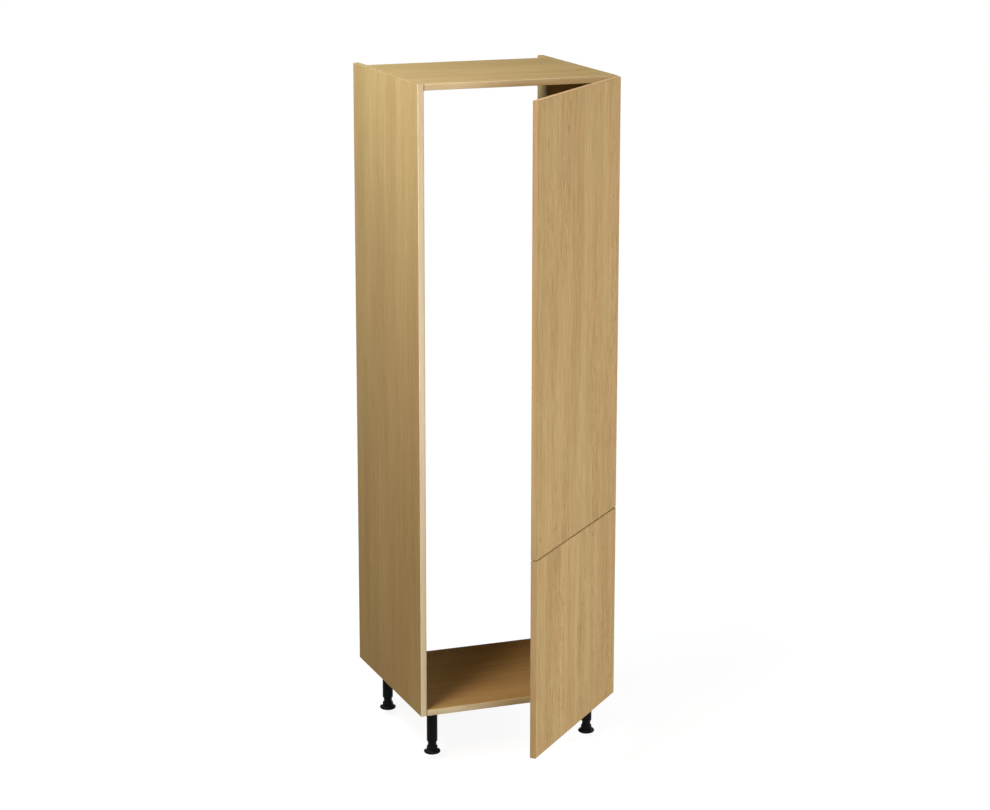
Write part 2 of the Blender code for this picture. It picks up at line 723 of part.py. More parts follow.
def arm_outline():
    """The arm's side wall, as heights over the panel and distances behind the front plane."""
    top = GUIDE_PIN_HEIGHT + ARM_EAR
    nose = GUIDE_PIN_SETBACK - ARM_EAR
    tail = nose + ARM_LENGTH
    underside = GUIDE_PIN_HEIGHT - ARM_EAR
    belly = ARM_PIVOT_HEIGHT - ARM_EAR
    tail_top = top - ARM_TAIL_DROP
    return (
        (underside, nose + ARM_EAR / 2),
        (underside + ARM_EAR / 2, nose),
        (top - ARM_EAR / 2, nose),
        (top, nose + ARM_EAR / 2),
        (top, ARM_PIVOT_SETBACK + ARM_EAR),
        (tail_top, tail - ARM_LENGTH / 3),
        (tail_top, tail),
        (tail_top - ARM_TAIL_HEIGHT, tail),
        (belly, ARM_PIVOT_SETBACK + ARM_EAR),
        (belly, ARM_PIVOT_SETBACK - ARM_EAR),
        (underside, GUIDE_PIN_SETBACK + 2 * ARM_EAR),
    )


def arm_mesh():
    """The arm: a channel of two walls and a web, with the inner link's pin and the guide pin through it."""
    outline = [(-height, setback) for height, setback in arm_outline()]
    inner, outer = ARM_INNER_WIDTH / 2, ARM_OUTER_WIDTH / 2
    arm = prism("arm", outline, -outer, outer)
    channel = channel_outline()
    cut(arm, prism("channel", channel, -inner, inner))
    corner = Vector((BOARD, 0))
    for label, pivot in (("arm_pin", arm_pivot()), ("guide_pin", guide_pin())):
        join(arm, upright(label, pivot + corner, PIN_RADIUS, (ARM_INNER_WIDTH + ARM_OUTER_WIDTH) / 2))
    return finished_mesh(arm)


def channel_outline():
    """The space between the arm's walls: open below and at the nose, closed above by the web."""
    top = GUIDE_PIN_HEIGHT + ARM_EAR
    nose = GUIDE_PIN_SETBACK - ARM_EAR
    tail = nose + ARM_LENGTH
    tail_top = top - ARM_TAIL_DROP
    return (
        (OVERRUN, nose - OVERRUN),
        (-top - OVERRUN, nose - OVERRUN),
        (-top - OVERRUN, ARM_WEB_SETBACK),
        (ARM_WALL - top, ARM_WEB_SETBACK),
        (ARM_WALL - top, ARM_PIVOT_SETBACK + ARM_EAR),
        (ARM_WALL - tail_top, tail - ARM_LENGTH / 3),
        (ARM_WALL - tail_top, tail + OVERRUN),
        (OVERRUN, tail + OVERRUN),
    )


def block_top():
    """How high the mounting plate's block reaches between the arm's walls."""
    tail_bottom = GUIDE_PIN_HEIGHT + ARM_EAR - ARM_TAIL_DROP - ARM_TAIL_HEIGHT
    return tail_bottom + BLOCK_OVERLAP


def plate_mesh():
    """The mounting plate: a winged base on the panel, drilled for its two screws, and the block that the arm
    sits over."""
    low, high = -PLATE_THICKNESS - SEAT_GAP, -SEAT_GAP
    front, rear = PLATE_SETBACK, PLATE_SETBACK + PLATE_LENGTH
    waist, spread = PLATE_WAIST / 2, PLATE_SPREAD / 2
    wing = PLATE_HOLE_SETBACK - PLATE_SETBACK
    outline = [
        (front + PLATE_CORNER, -spread),
        (front + 2 * wing - PLATE_CORNER, -spread),
        (front + 2 * wing, PLATE_CORNER - spread),
        (front + 2 * wing, -waist),
        (rear, -waist),
        (rear, waist),
        (front + 2 * wing, waist),
        (front + 2 * wing, spread - PLATE_CORNER),
        (front + 2 * wing - PLATE_CORNER, spread),
        (front + PLATE_CORNER, spread),
        (front, spread - PLATE_CORNER),
        (front, PLATE_CORNER - spread),
    ]
    base = prism("plate", outline, low, high)
    base.data.transform(Matrix(((0, 0, 1, 0), (1, 0, 0, 0), (0, 1, 0, 0), (0, 0, 0, 1))))
    half = ARM_INNER_WIDTH / 2 - SEAT_GAP
    block_low = (-block_top(), BLOCK_SETBACK, -half)
    block_high = (-SEAT_GAP - PLATE_THICKNESS / 2, BLOCK_SETBACK + BLOCK_LENGTH, half)
    join(base, slab("plate_block", block_low, block_high))
    for side in (-1, 1):
        z = side * PLATE_HOLE_SPACING / 2
        start, end = (low - OVERRUN, PLATE_HOLE_SETBACK, z), (OVERRUN, PLATE_HOLE_SETBACK, z)
        cut(base, rod(f"plate_hole_{side}", PLATE_HOLE_RADIUS, start, end, SMALL_SIDES))
    return finished_mesh(base)


def hinge_heights(bottom, height, count):
    """The middle height of each hinge of a door, spread evenly between the two end ones, from the top."""
    low = bottom + HINGE_END_DISTANCE
    high = bottom + height - HINGE_END_DISTANCE
    return [high - (high - low) * index / (count - 1) for index in range(count)]


def hinge(label, height, meshes):
    """One hinge at its height, with its links and cup turned as the part-open door has them."""
    corner = Vector((-BOARD, 0))
    inner_turn = INNER_LINK_TURN_SHARE * REST_OPENING
    outer_turn = OUTER_LINK_TURN_SHARE * REST_OPENING
    at_outer = world(opened(outer_pivot(), REST_OPENING), height)
    at_cup = world(opened(cup_centre(), REST_OPENING), height)
    placed(f"hinge_plate_{label}", meshes["plate"], "nickel_steel", world(corner, height))
    placed(f"hinge_arm_{label}", meshes["arm"], "nickel_steel", world(corner, height))
    placed(f"hinge_inner_link_{label}", meshes["inner"], "nickel_steel", world(arm_pivot(), height), inner_turn)
    placed(f"hinge_outer_link_{label}", meshes["outer"], "nickel_steel", at_outer, outer_turn)
    placed(f"hinge_cup_{label}", meshes["cup"], "nickel_steel", at_cup, REST_OPENING)


# Doors


def door(name, bottom, height, hinge_levels):
    """A door board with a bore for each cup, on an empty that stands on its hinge axis."""
    pivot = bpy.data.objects.new(name + "_axis", None)
    bpy.context.scene.collection.objects.link(pivot)
    pivot.location = world(opened(inner_pivot(), REST_OPENING), bottom)
    pivot.rotation_euler.z = REST_OPENING
    edge = Vector((-DOOR_SIDE_REVEAL, -DOOR_STANDOFF)) - inner_pivot()
    low = (edge.x - DOOR_WIDTH, edge.y - DOOR_THICKNESS, 0)
    board = slab(name, low, (edge.x, edge.y, height))
    board.parent = pivot
    soften(board, DOOR_EDGE_ROUND)
    x, y = cup_centre() - inner_pivot()
    for index, level in enumerate(hinge_levels):
        z = level - bottom
        start, end = (x, y + OVERRUN, z), (x, y - CUP_DEPTH - SEAT_GAP, z)
        bore = rod(f"{name}_cup_bore_{index}", CUP_RADIUS, start, end, FINE_SIDES)
        bore.parent = pivot
        cut(board, bore)
    smooth(board)
    finish_of(board, "oak_door")
    return board


def doors():
    """Both doors with their hinges."""
    meshes = {
        "plate": plate_mesh(),
        "arm": arm_mesh(),
        "inner": inner_link_mesh(),
        "outer": outer_link_mesh(),
        "cup": cup_mesh(),
    }
    lower_bottom = LEG_HEIGHT + DOOR_BOTTOM_REVEAL
    upper_bottom = lower_bottom + LOWER_DOOR_HEIGHT + DOOR_SPACING
    upper_levels = hinge_heights(upper_bottom, UPPER_DOOR_HEIGHT, UPPER_HINGE_COUNT)
    lower_levels = hinge_heights(lower_bottom, LOWER_DOOR_HEIGHT, LOWER_HINGE_COUNT)
    door("upper_door", upper_bottom, UPPER_DOOR_HEIGHT, upper_levels)
    door("lower_door", lower_bottom, LOWER_DOOR_HEIGHT, lower_levels)
    for prefix, levels in (("upper", upper_levels), ("lower", lower_levels)):
        for index, level in enumerate(levels):
            hinge(f"{prefix}_{index + 1}", level, meshes)


def main():
    """Builds the whole unit."""
    clear_scene()
    side_panel("side_panel_left", -1)
    side_panel("side_panel_right", 1)
    cross_panel("top_panel", TOTAL_HEIGHT - BOARD, 1, legs=False)
    cross_panel("bottom_panel", LEG_HEIGHT, -1, legs=True)
    cam_fittings()
    legs()
    doors()


main()
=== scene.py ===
"""Looks, light and camera of a tall fridge housing unit in oak finish.

The unit is a carcase of four edged boards held by cams, two doors on concealed hinges, and four
adjustable legs. Each of these is a class below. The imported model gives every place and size, and
the pieces ride on its bodies.
"""

import json
import logging
import math
from dataclasses import asdict, dataclass, field, replace
from enum import Enum
from typing import Callable, ClassVar, Optional, Sequence, Union

import bmesh
import bpy
from mathutils import Matrix, Vector

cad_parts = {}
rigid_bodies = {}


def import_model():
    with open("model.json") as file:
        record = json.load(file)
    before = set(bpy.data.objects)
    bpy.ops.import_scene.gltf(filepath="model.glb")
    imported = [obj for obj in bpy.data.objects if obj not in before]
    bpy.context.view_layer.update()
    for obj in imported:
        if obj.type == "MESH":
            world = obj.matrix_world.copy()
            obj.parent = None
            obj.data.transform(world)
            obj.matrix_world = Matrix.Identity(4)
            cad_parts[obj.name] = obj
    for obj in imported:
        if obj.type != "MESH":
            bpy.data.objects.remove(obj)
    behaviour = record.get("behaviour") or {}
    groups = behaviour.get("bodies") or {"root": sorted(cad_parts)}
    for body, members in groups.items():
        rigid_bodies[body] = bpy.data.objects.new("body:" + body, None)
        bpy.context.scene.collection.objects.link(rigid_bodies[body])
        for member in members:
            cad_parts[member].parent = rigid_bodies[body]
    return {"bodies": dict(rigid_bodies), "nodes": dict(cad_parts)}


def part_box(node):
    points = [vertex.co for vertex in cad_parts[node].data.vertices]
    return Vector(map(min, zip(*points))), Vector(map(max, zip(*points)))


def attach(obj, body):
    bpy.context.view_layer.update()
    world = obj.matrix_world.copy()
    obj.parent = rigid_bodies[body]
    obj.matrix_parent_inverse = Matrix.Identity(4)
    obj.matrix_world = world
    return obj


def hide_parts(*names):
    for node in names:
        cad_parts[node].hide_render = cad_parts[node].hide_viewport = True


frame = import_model()

LOG = logging.getLogger("fridge_housing_unit")
IMAGE_WIDTH = 990
QUARTER_TURN = math.pi / 2
NOISE_MIDDLE = 0.5
NOISE_ROUGHNESS = 0.55

Pair = tuple[float, float]
Triple = tuple[float, float, float]
Colour = tuple[float, float, float]
Socket = bpy.types.NodeSocket
Feed = Union[Socket, float, Sequence[float]]
Sockets = dict[str, Socket]
MeshDraft = bmesh.types.BMesh

WHITE: Colour = (1.0, 1.0, 1.0)


class Grain(Enum):
    """Which way the oak's fibres run on a piece, in its board's own frame."""

    LENGTHWISE = "lengthwise"
    CROSSWISE = "crosswise"


class Side(Enum):
    """An edge of a board, named in the board's own frame: X across the grain, Z along it."""

    FRONT = "front"
    BACK = "back"
    LOW_END = "low_end"
    HIGH_END = "high_end"

    @property
    def axis(self) -> int:
        """The axis that the edge faces along."""
        return 0 if self in (Side.FRONT, Side.BACK) else 2

    @property
    def is_far(self) -> bool:
        """Whether the edge is at the far end of that axis."""
        return self in (Side.BACK, Side.HIGH_END)

    @property
    def grain(self) -> Grain:
        """Which way an edging's fibres run on the edge."""
        return Grain.LENGTHWISE if self.axis == 0 else Grain.CROSSWISE


class Slot(Enum):
    """The record's material slots."""

    OAK_BOARD = "oak_board"
    OAK_DOOR = "oak_door"
    BLACK_PLASTIC = "black_plastic"
    NICKEL_STEEL = "nickel_steel"
    ZINC_CASTING = "zinc_casting"


class Recess(Enum):
    """The drive cut into a screw's or cam's head."""

    CROSS = "cross"
    CROSS_AND_ARROW = "cross_and_arrow"


class Corner(Enum):
    """A corner of the unit, seen from above."""

    FRONT_LEFT = "front_left"
    FRONT_RIGHT = "front_right"
    REAR_LEFT = "rear_left"
    REAR_RIGHT = "rear_right"


class Level(Enum):
    """Which of the two lying boards a cam is in."""

    TOP = "top"
    BOTTOM = "bottom"


class Leaf(Enum):
    """One of the two doors."""

    UPPER = "upper"
    LOWER = "lower"


class ScrewKind(Enum):
    """Where a hinge's screw sits."""

    PLATE = "plate"
    ARM = "arm"
    CUP = "cup"


# Node trees


@dataclass
class Graph:
    """Puts nodes into one node tree and joins them."""

    tree: bpy.types.NodeTree
    mix_inputs: ClassVar[tuple[int, int, int]] = (0, 6, 7)
    mix_output: ClassVar[int] = 2

    def feed(self, socket: Socket, value: Feed) -> None:
        """Links a socket to an output, or sets its own value.

        Args:
            socket: The input to fill.
            value: An output socket, a number, or a vector or colour.
        """
        if isinstance(value, bpy.types.NodeSocket):
            self.tree.links.new(value, socket)
        elif socket.type == "RGBA" and len(value) == 3:
            socket.default_value = (*value, 1.0)
        else:
            socket.default_value = value

    def node(
        self, kind: str, feeds: dict[Union[str, int], Feed], **settings: object
    ) -> bpy.types.Node:
        """Adds a node.

        Args:
            kind: The node's type name.
            feeds: Input names or places, with what goes into them.
            **settings: The node's own properties, which are set first.

        Returns:
            The new node.
        """
        node = self.tree.nodes.new(kind)
        for name, value in settings.items():
            setattr(node, name, value)
        for place, value in feeds.items():
            self.feed(node.inputs[place], value)
        return node

    def math(self, operation: str, *feeds: Feed) -> Socket:
        """Adds a Math node.

        Args:
            operation: The operation's name.
            *feeds: Its inputs in order.

        Returns:
            Its result.
        """
        in_order = dict(enumerate(feeds))
        return self.node("ShaderNodeMath", in_order, operation=operation).outputs[0]

    def vector(self, operation: str, *feeds: Feed) -> Socket:
        """Adds a Vector Math node.

        Args:
            operation: The operation's name.
            *feeds: Its inputs in order.

        Returns:
            Its vector result.
        """
        in_order = dict(enumerate(feeds))
        return self.node("ShaderNodeVectorMath", in_order, operation=operation).outputs[0]

    def split(self, vector: Socket) -> Sequence[Socket]:
        """The X, Y and Z of a vector."""
        return self.node("ShaderNodeSeparateXYZ", {"Vector": vector}).outputs

    def object_place(self) -> Socket:
        """Coordinates in the object's own space, in metres."""
        return self.node("ShaderNodeTexCoord", {}).outputs["Object"]

    def ramp(self, value: Feed, span: Sequence[Feed], ends: Pair = (0.0, 1.0)) -> Socket:
        """Maps a value smoothly from one range to another, held at the ends.

        Args:
            value: What is mapped.
            span: The values that give the first and the second end.
            ends: The results at the two ends.

        Returns:
            The mapped value.
        """
        feeds = {
            "Value": value,
            "From Min": span[0],
            "From Max": span[1],
            "To Min": ends[0],
            "To Max": ends[1],
        }
        node = self.node("ShaderNodeMapRange", feeds, interpolation_type="SMOOTHSTEP")
        return node.outputs[0]

    def noise(
        self, place: Feed, stretch: Triple, detail: float = 2.0, distortion: float = 0.0
    ) -> Socket:
        """Adds a noise with its own number of features per metre along each axis.

        Args:
            place: The coordinates, in metres.
            stretch: Features per metre along X, Y and Z.
            detail: How many finer layers are added.
            distortion: How much the noise is warped by itself.

        Returns:
            A value around 0.5.
        """
        feeds = {
            "Vector": self.vector("MULTIPLY", place, stretch),
            "Scale": 1.0,
            "Detail": detail,
            "Roughness": NOISE_ROUGHNESS,
            "Distortion": distortion,
        }
        return self.node("ShaderNodeTexNoise", feeds).outputs[0]

    def vary(self, base: Feed, noise: Feed, amount: Feed) -> Socket:
        """Moves a value up and down with a noise.

        Args:
            base: The value where the noise is at its middle.
            noise: The noise.
            amount: How far the value moves from the noise's 0 to its 1.

        Returns:
            The moved value.
        """
        return self.math("MULTIPLY_ADD", self.math("SUBTRACT", noise, NOISE_MIDDLE), amount, base)

    def blend(self, factor: Feed, first: Feed, second: Feed) -> Socket:
        """Mixes two colours.

        Args:
            factor: How much of the second there is.
            first: The colour at 0.
            second: The colour at 1.

        Returns:
            The mixed colour.
        """
        feeds = dict(zip(self.mix_inputs, (factor, first, second)))
        return self.node("ShaderNodeMix", feeds, data_type="RGBA").outputs[self.mix_output]


def empty_graph(holder: Union[bpy.types.Material, bpy.types.World]) -> Graph:
    """Gives a material or a world its nodes, none to begin with.

    Args:
        holder: The material or world.

    Returns:
        Its graph.
    """
    holder.use_nodes = True
    holder.node_tree.nodes.clear()
    return Graph(holder.node_tree)


@dataclass(frozen=True)
class Port:
    """A named socket of a node group."""

    name: str
    kind: str
    default: Feed


def vector_port(name: str) -> Port:
    """A vector socket that starts at zero."""
    return Port(name, "NodeSocketVector", (0.0, 0.0, 0.0))


def colour_port(name: str) -> Port:
    """A colour socket that starts at grey."""
    return Port(name, "NodeSocketColor", (0.5, 0.5, 0.5, 1.0))


def value_port(name: str, default: float = 0.5) -> Port:
    """A number socket."""
    return Port(name, "NodeSocketFloat", default)


# Effects


@dataclass
class Effect:
    """A shader node group that several materials share, built when it is first placed."""

    name: ClassVar[str]
    takes: ClassVar[tuple[Port, ...]]
    gives: ClassVar[tuple[Port, ...]] = (
        colour_port("Color"),
        value_port("Roughness"),
        value_port("Height"),
    )
    tree: Optional[bpy.types.NodeTree] = None

    def fill(self, graph: Graph, given: Sockets) -> Sockets:
        """Adds the effect's own nodes.

        Args:
            graph: The group's graph.
            given: The group's inputs by name.

        Returns:
            The group's outputs by name.
        """
        raise NotImplementedError

    def build(self) -> None:
        """Builds the node group."""
        self.tree = bpy.data.node_groups.new(self.name, "ShaderNodeTree")
        sockets = self.tree.interface
        for port in self.takes:
            socket = sockets.new_socket(name=port.name, in_out="INPUT", socket_type=port.kind)
            socket.default_value = port.default
        for port in self.gives:
            sockets.new_socket(name=port.name, in_out="OUTPUT", socket_type=port.kind)
        graph = Graph(self.tree)
        inlet = graph.node("NodeGroupInput", {})
        given = {port.name: inlet.outputs[port.name] for port in self.takes}
        graph.node("NodeGroupOutput", self.fill(graph, given))

    def place(self, graph: Graph, feeds: dict[str, Feed]) -> bpy.types.Node:
        """Puts the group into a material with the material's own values.

        Args:
            graph: The material's graph.
            feeds: Input names with what goes into them.

        Returns:
            The group node.
        """
        if self.tree is None:
            self.build()
        return graph.node("ShaderNodeGroup", feeds, node_tree=self.tree)


@dataclass
class OakGrain(Effect):
    """Straight oak grain along Z: broad bands, streaks, fibres, flecked columns and open pores.

    Each scale is in features per metre, and each range is the part of a noise that counts.
    """

    name = "Oak grain"
    takes = (
        vector_port("Vector"),
        value_port("Seed", 0.0),
        *map(colour_port, ("Pale", "Warm", "Dark")),
        *map(value_port, ("Bands", "Streaks", "Fibres", "Flecks", "Pores", "Satin")),
    )
    seed_step: Triple = (7.31, 3.17, 5.73)
    sway_scale: float = 2.2
    sway_reach: Triple = (0.022, 0.022, 0.0)
    band_scale: Triple = (13.0, 13.0, 1.1)
    hue_scale: Triple = (11.0, 11.0, 1.3)
    streak_scale: Triple = (62.0, 62.0, 1.5)
    streak_detail: float = 2.5
    fibre_scale: Triple = (290.0, 290.0, 13.0)
    column_scale: Triple = (14.0, 14.0, 0.9)
    fleck_scale: Triple = (330.0, 330.0, 30.0)
    pore_scale: Triple = (900.0, 900.0, 34.0)
    tone_range: Pair = (0.05, 0.95)
    warm_range: Pair = (0.40, 0.62)
    column_range: Pair = (0.44, 0.60)
    fleck_range: Pair = (0.54, 0.66)
    pore_range: Pair = (0.62, 0.72)
    pore_stain: float = 0.55
    streak_dulling: float = 0.12
    pore_dulling: float = 0.10
    fibre_rise: float = 0.30

    def fill(self, graph: Graph, given: Sockets) -> Sockets:
        """Adds the grain's nodes.

        Args:
            graph: The group's graph.
            given: The group's inputs by name.

        Returns:
            The group's outputs by name.
        """
        shift = graph.vector("MULTIPLY", self.seed_step, given["Seed"])
        place = graph.vector("ADD", given["Vector"], shift)
        feeds = {"Vector": place, "Scale": self.sway_scale, "Detail": 1.0}
        sway = graph.node("ShaderNodeTexNoise", feeds).outputs[1]
        swing = graph.vector("SUBTRACT", sway, (NOISE_MIDDLE,) * 3)
        bent = graph.vector("ADD", place, graph.vector("MULTIPLY", swing, self.sway_reach))

        streaks = graph.noise(bent, self.streak_scale, self.streak_detail)
        fibres = graph.noise(bent, self.fibre_scale)
        tone = graph.vary(0.5, graph.noise(bent, self.band_scale), given["Bands"])
        tone = graph.vary(tone, streaks, given["Streaks"])
        tone = graph.vary(tone, fibres, given["Fibres"])
        warmth = graph.ramp(graph.noise(bent, self.hue_scale), self.warm_range)
        ground = graph.blend(warmth, given["Pale"], given["Warm"])
        colour = graph.blend(graph.ramp(tone, self.tone_range), given["Dark"], ground)

        column = graph.ramp(graph.noise(bent, self.column_scale, 1.0), self.column_range)
        wavy = graph.ramp(graph.noise(bent, self.fleck_scale, 2.0, 1.0), self.fleck_range)
        fleck = graph.math("MULTIPLY", graph.math("MULTIPLY", wavy, column), given["Flecks"])
        colour = graph.blend(fleck, colour, given["Dark"])

        pore = graph.ramp(graph.noise(bent, self.pore_scale, 1.0), self.pore_range)
        open_pore = graph.math("MULTIPLY", pore, given["Pores"])
        stain = graph.math("MULTIPLY", open_pore, self.pore_stain)
        colour = graph.blend(stain, colour, given["Dark"])

        dull = graph.vary(given["Satin"], streaks, self.streak_dulling)
        dull = graph.math("MULTIPLY_ADD", pore, self.pore_dulling, dull)
        sunk = graph.math("MULTIPLY", open_pore, -1.0)
        relief = graph.math("MULTIPLY_ADD", fibres, self.fibre_rise, sunk)
        return {"Color": colour, "Roughness": dull, "Height": relief}


@dataclass
class HandledEdges(Effect):
    """A board's arrises, broken up as by hands and cloths, its two ends and one face's rim.

    All are found from the board's own box. Distances are in metres.
    """

    name = "Handled edges"
    takes = (
        *map(vector_port, ("Vector", "Size")),
        value_port("Width", 0.003),
        value_port("Rim side", -1.0),
    )
    gives = tuple(map(value_port, ("Mask", "Ends", "Rim")))
    patch_scale: Triple = (24.0, 24.0, 9.0)
    patch_range: Pair = (0.38, 0.66)
    patch_widths: Pair = (0.15, 1.0)
    end_range: Pair = (0.0002, 0.0020)
    rim_range: Pair = (0.0018, 0.0032)

    def fill(self, graph: Graph, given: Sockets) -> Sockets:
        """Adds the masks' nodes.

        Args:
            graph: The group's graph.
            given: The group's inputs by name.

        Returns:
            The group's outputs by name.
        """
        fading = (1.0, 0.0)
        far = graph.vector("SUBTRACT", given["Size"], given["Vector"])
        near = graph.split(graph.vector("MINIMUM", given["Vector"], far))
        least = graph.math("MINIMUM", near[0], near[1])
        most = graph.math("MAXIMUM", near[0], near[1])
        second = graph.math("MAXIMUM", least, graph.math("MINIMUM", most, near[2]))
        patchy = graph.noise(given["Vector"], self.patch_scale, 3.0)
        share = graph.ramp(patchy, self.patch_range, self.patch_widths)
        width = graph.math("MULTIPLY", given["Width"], share)

        face = graph.math("MULTIPLY", graph.split(given["Size"])[1], given["Rim side"])
        off = graph.math("SUBTRACT", graph.split(given["Vector"])[1], face)
        return {
            "Mask": graph.ramp(second, (0.0, width), fading),
            "Ends": graph.ramp(near[2], self.end_range, fading),
            # Rim: a strip along one face's rim, used for painted shade of the inner arris.
            "Rim": graph.ramp(graph.math("ABSOLUTE", off), self.rim_range, fading),
        }


@dataclass
class MouldedSkin(Effect):
    """A mould's fine eroded texture, with slow drift in its gloss and a little dust on top."""

    name = "Moulded skin"
    takes = (
        vector_port("Vector"),
        *map(colour_port, ("Plastic", "Dust")),
        value_port("Gloss", 0.4),
    )
    fine_scale: Triple = (2600.0, 2600.0, 2600.0)
    drift_scale: Triple = (46.0, 46.0, 30.0)
    flow_scale: Triple = (120.0, 120.0, 14.0)
    lying_range: Pair = (0.45, 0.95)
    dust_range: Pair = (0.42, 0.70)
    dust_amounts: Pair = (0.05, 0.34)
    drift_dulling: float = 0.22
    dust_dulling: float = 0.6
    flow_rise: float = 0.35

    def fill(self, graph: Graph, given: Sockets) -> Sockets:
        """Adds the skin's nodes.

        Args:
            graph: The group's graph.
            given: The group's inputs by name.

        Returns:
            The group's outputs by name.
        """
        fine = graph.noise(given["Vector"], self.fine_scale)
        drift = graph.noise(given["Vector"], self.drift_scale, 3.0)
        flow = graph.noise(given["Vector"], self.flow_scale)
        normal = graph.node("ShaderNodeNewGeometry", {}).outputs["Normal"]
        lying = graph.ramp(graph.split(normal)[2], self.lying_range)
        dusty = graph.ramp(drift, self.dust_range, self.dust_amounts)
        settled = graph.math("MULTIPLY", lying, dusty)
        dull = graph.vary(given["Gloss"], drift, self.drift_dulling)
        return {
            "Color": graph.blend(settled, given["Plastic"], given["Dust"]),
            "Roughness": graph.math("MULTIPLY_ADD", settled, self.dust_dulling, dull),
            "Height": graph.math("MULTIPLY_ADD", flow, self.flow_rise, fine),
        }


@dataclass
class PlatedSkin(Effect):
    """Plated metal: drawn lines along Z, cloudy patches, and small rubbed scratches."""

    name = "Plated skin"
    takes = (
        vector_port("Vector"),
        *map(colour_port, ("Bright", "Dim")),
        value_port("Gloss", 0.3),
        value_port("Coarseness"),
    )
    drawn_scale: Triple = (1900.0, 1900.0, 90.0)
    cloud_scale: Triple = (140.0, 140.0, 90.0)
    pit_scale: Triple = (1500.0, 1500.0, 1500.0)
    rub_scale: Triple = (260.0, 900.0, 700.0)
    rub_warp: float = 0.8
    rub_range: Pair = (0.60, 0.68)
    dim_range: Pair = (0.35, 0.70)
    cloud_dulling: float = 0.30
    drawn_dulling: float = 0.16
    rub_dulling: float = 0.10
    drawn_rise: float = 0.35

    def fill(self, graph: Graph, given: Sockets) -> Sockets:
        """Adds the plating's nodes.

        Args:
            graph: The group's graph.
            given: The group's inputs by name.

        Returns:
            The group's outputs by name.
        """
        drawn = graph.noise(given["Vector"], self.drawn_scale)
        cloud = graph.noise(given["Vector"], self.cloud_scale, 3.0)
        pitted = graph.noise(given["Vector"], self.pit_scale, 3.0)
        rubbed = graph.noise(given["Vector"], self.rub_scale, 2.0, self.rub_warp)
        dimmed = graph.ramp(cloud, self.dim_range)
        dull = graph.vary(given["Gloss"], cloud, self.cloud_dulling)
        dull = graph.vary(dull, drawn, self.drawn_dulling)
        rub = graph.ramp(rubbed, self.rub_range)
        grit = graph.math("MULTIPLY", pitted, given["Coarseness"])
        lines = graph.math("MULTIPLY", drawn, self.drawn_rise)
        return {
            "Color": graph.blend(dimmed, given["Bright"], given["Dim"]),
            "Roughness": graph.math("MULTIPLY_ADD", rub, self.rub_dulling, dull),
            "Height": graph.math("ADD", grit, lines),
        }


OAK_GRAIN = OakGrain()
HANDLED_EDGES = HandledEdges()
MOULDED_SKIN = MouldedSkin()
PLATED_SKIN = PlatedSkin()


# Frames


def axes_matrix(x: Sequence[float], y: Sequence[float], z: Sequence[float]) -> Matrix:
    """A turn whose columns are the given axes."""
    return Matrix((x, y, z)).transposed().to_4x4()


@dataclass(frozen=True)
class OwnFrame:
    """A board's own frame, with its corner at zero and its size.

    X goes across the grain from the front or free edge, Y through the board, Z along the grain.
    """

    matrix: Matrix
    size: Vector

    @classmethod
    def of(cls, node: str, axes: Matrix) -> "OwnFrame":
        """Finds a board's frame.

        Args:
            node: The board's CAD node.
            axes: The directions of its own axes in the unit's frame.

        Returns:
            The frame.
        """
        turned = [axes.inverted() @ vertex.co for vertex in frame["nodes"][node].data.vertices]
        low = Vector([min(place[axis] for place in turned) for axis in range(3)])
        high = Vector([max(place[axis] for place in turned) for axis in range(3)])
        return cls(axes @ Matrix.Translation(low), high - low)

    def place(self, graph: Graph) -> Socket:
        """Coordinates in the board's frame, in metres.

        Args:
            graph: The material's graph.

        Returns:
            The vector.
        """
        back = self.matrix.inverted()
        feeds = {
            "Vector": graph.object_place(),
            "Location": tuple(back.to_translation()),
            "Rotation": tuple(back.to_euler()),
        }
        return graph.node("ShaderNodeMapping", feeds, vector_type="POINT").outputs[0]


# Finishes


@dataclass(frozen=True, kw_only=True)
class Finish:
    """What every finish does: it feeds its effect, and gives the shader what comes out.

    A field with the name of one of the effect's inputs feeds that input. The relief is how far
    apart a height of 0 and a height of 1 are, in metres.
    """

    relief: float
    effect: ClassVar[Effect]
    shine: ClassVar[dict[str, float]]

    def skin(self, graph: Graph, feeds: dict[str, Feed]) -> Sockets:
        """Places the effect with the finish's own values.

        Args:
            graph: The material's graph.
            feeds: The inputs that aren't the finish's own.

        Returns:
            The effect's outputs.
        """
        own = {name.capitalize(): value for name, value in asdict(self).items()}
        named = {port.name: own[port.name] for port in self.effect.takes if port.name in own}
        return self.effect.place(graph, {**named, **feeds}).outputs

    def shade(self, graph: Graph, colour: Feed, dull: Feed, height: Feed) -> None:
        """Adds the material's shader and its output.

        Args:
            graph: The material's graph.
            colour: The surface's colour.
            dull: Its roughness.
            height: Its height, about 0 to 1.
        """
        bump = {"Strength": 1.0, "Distance": self.relief, "Height": height}
        feeds = {
            "Base Color": colour,
            "Roughness": dull,
            "Normal": graph.node("ShaderNodeBump", bump).outputs[0],
            **self.shine,
        }
        shader = graph.node("ShaderNodeBsdfPrincipled", feeds)
        graph.node("ShaderNodeOutputMaterial", {"Surface": shader.outputs[0]})

    def material(self, name: str) -> bpy.types.Material:
        """Makes a material that is the effect all over.

        Args:
            name: The material's name.

        Returns:
            The material.
        """
        material = bpy.data.materials.new(name)
        graph = empty_graph(material)
        skin = self.skin(graph, {"Vector": graph.object_place()})
        self.shade(graph, skin["Color"], skin["Roughness"], skin["Height"])
        return material


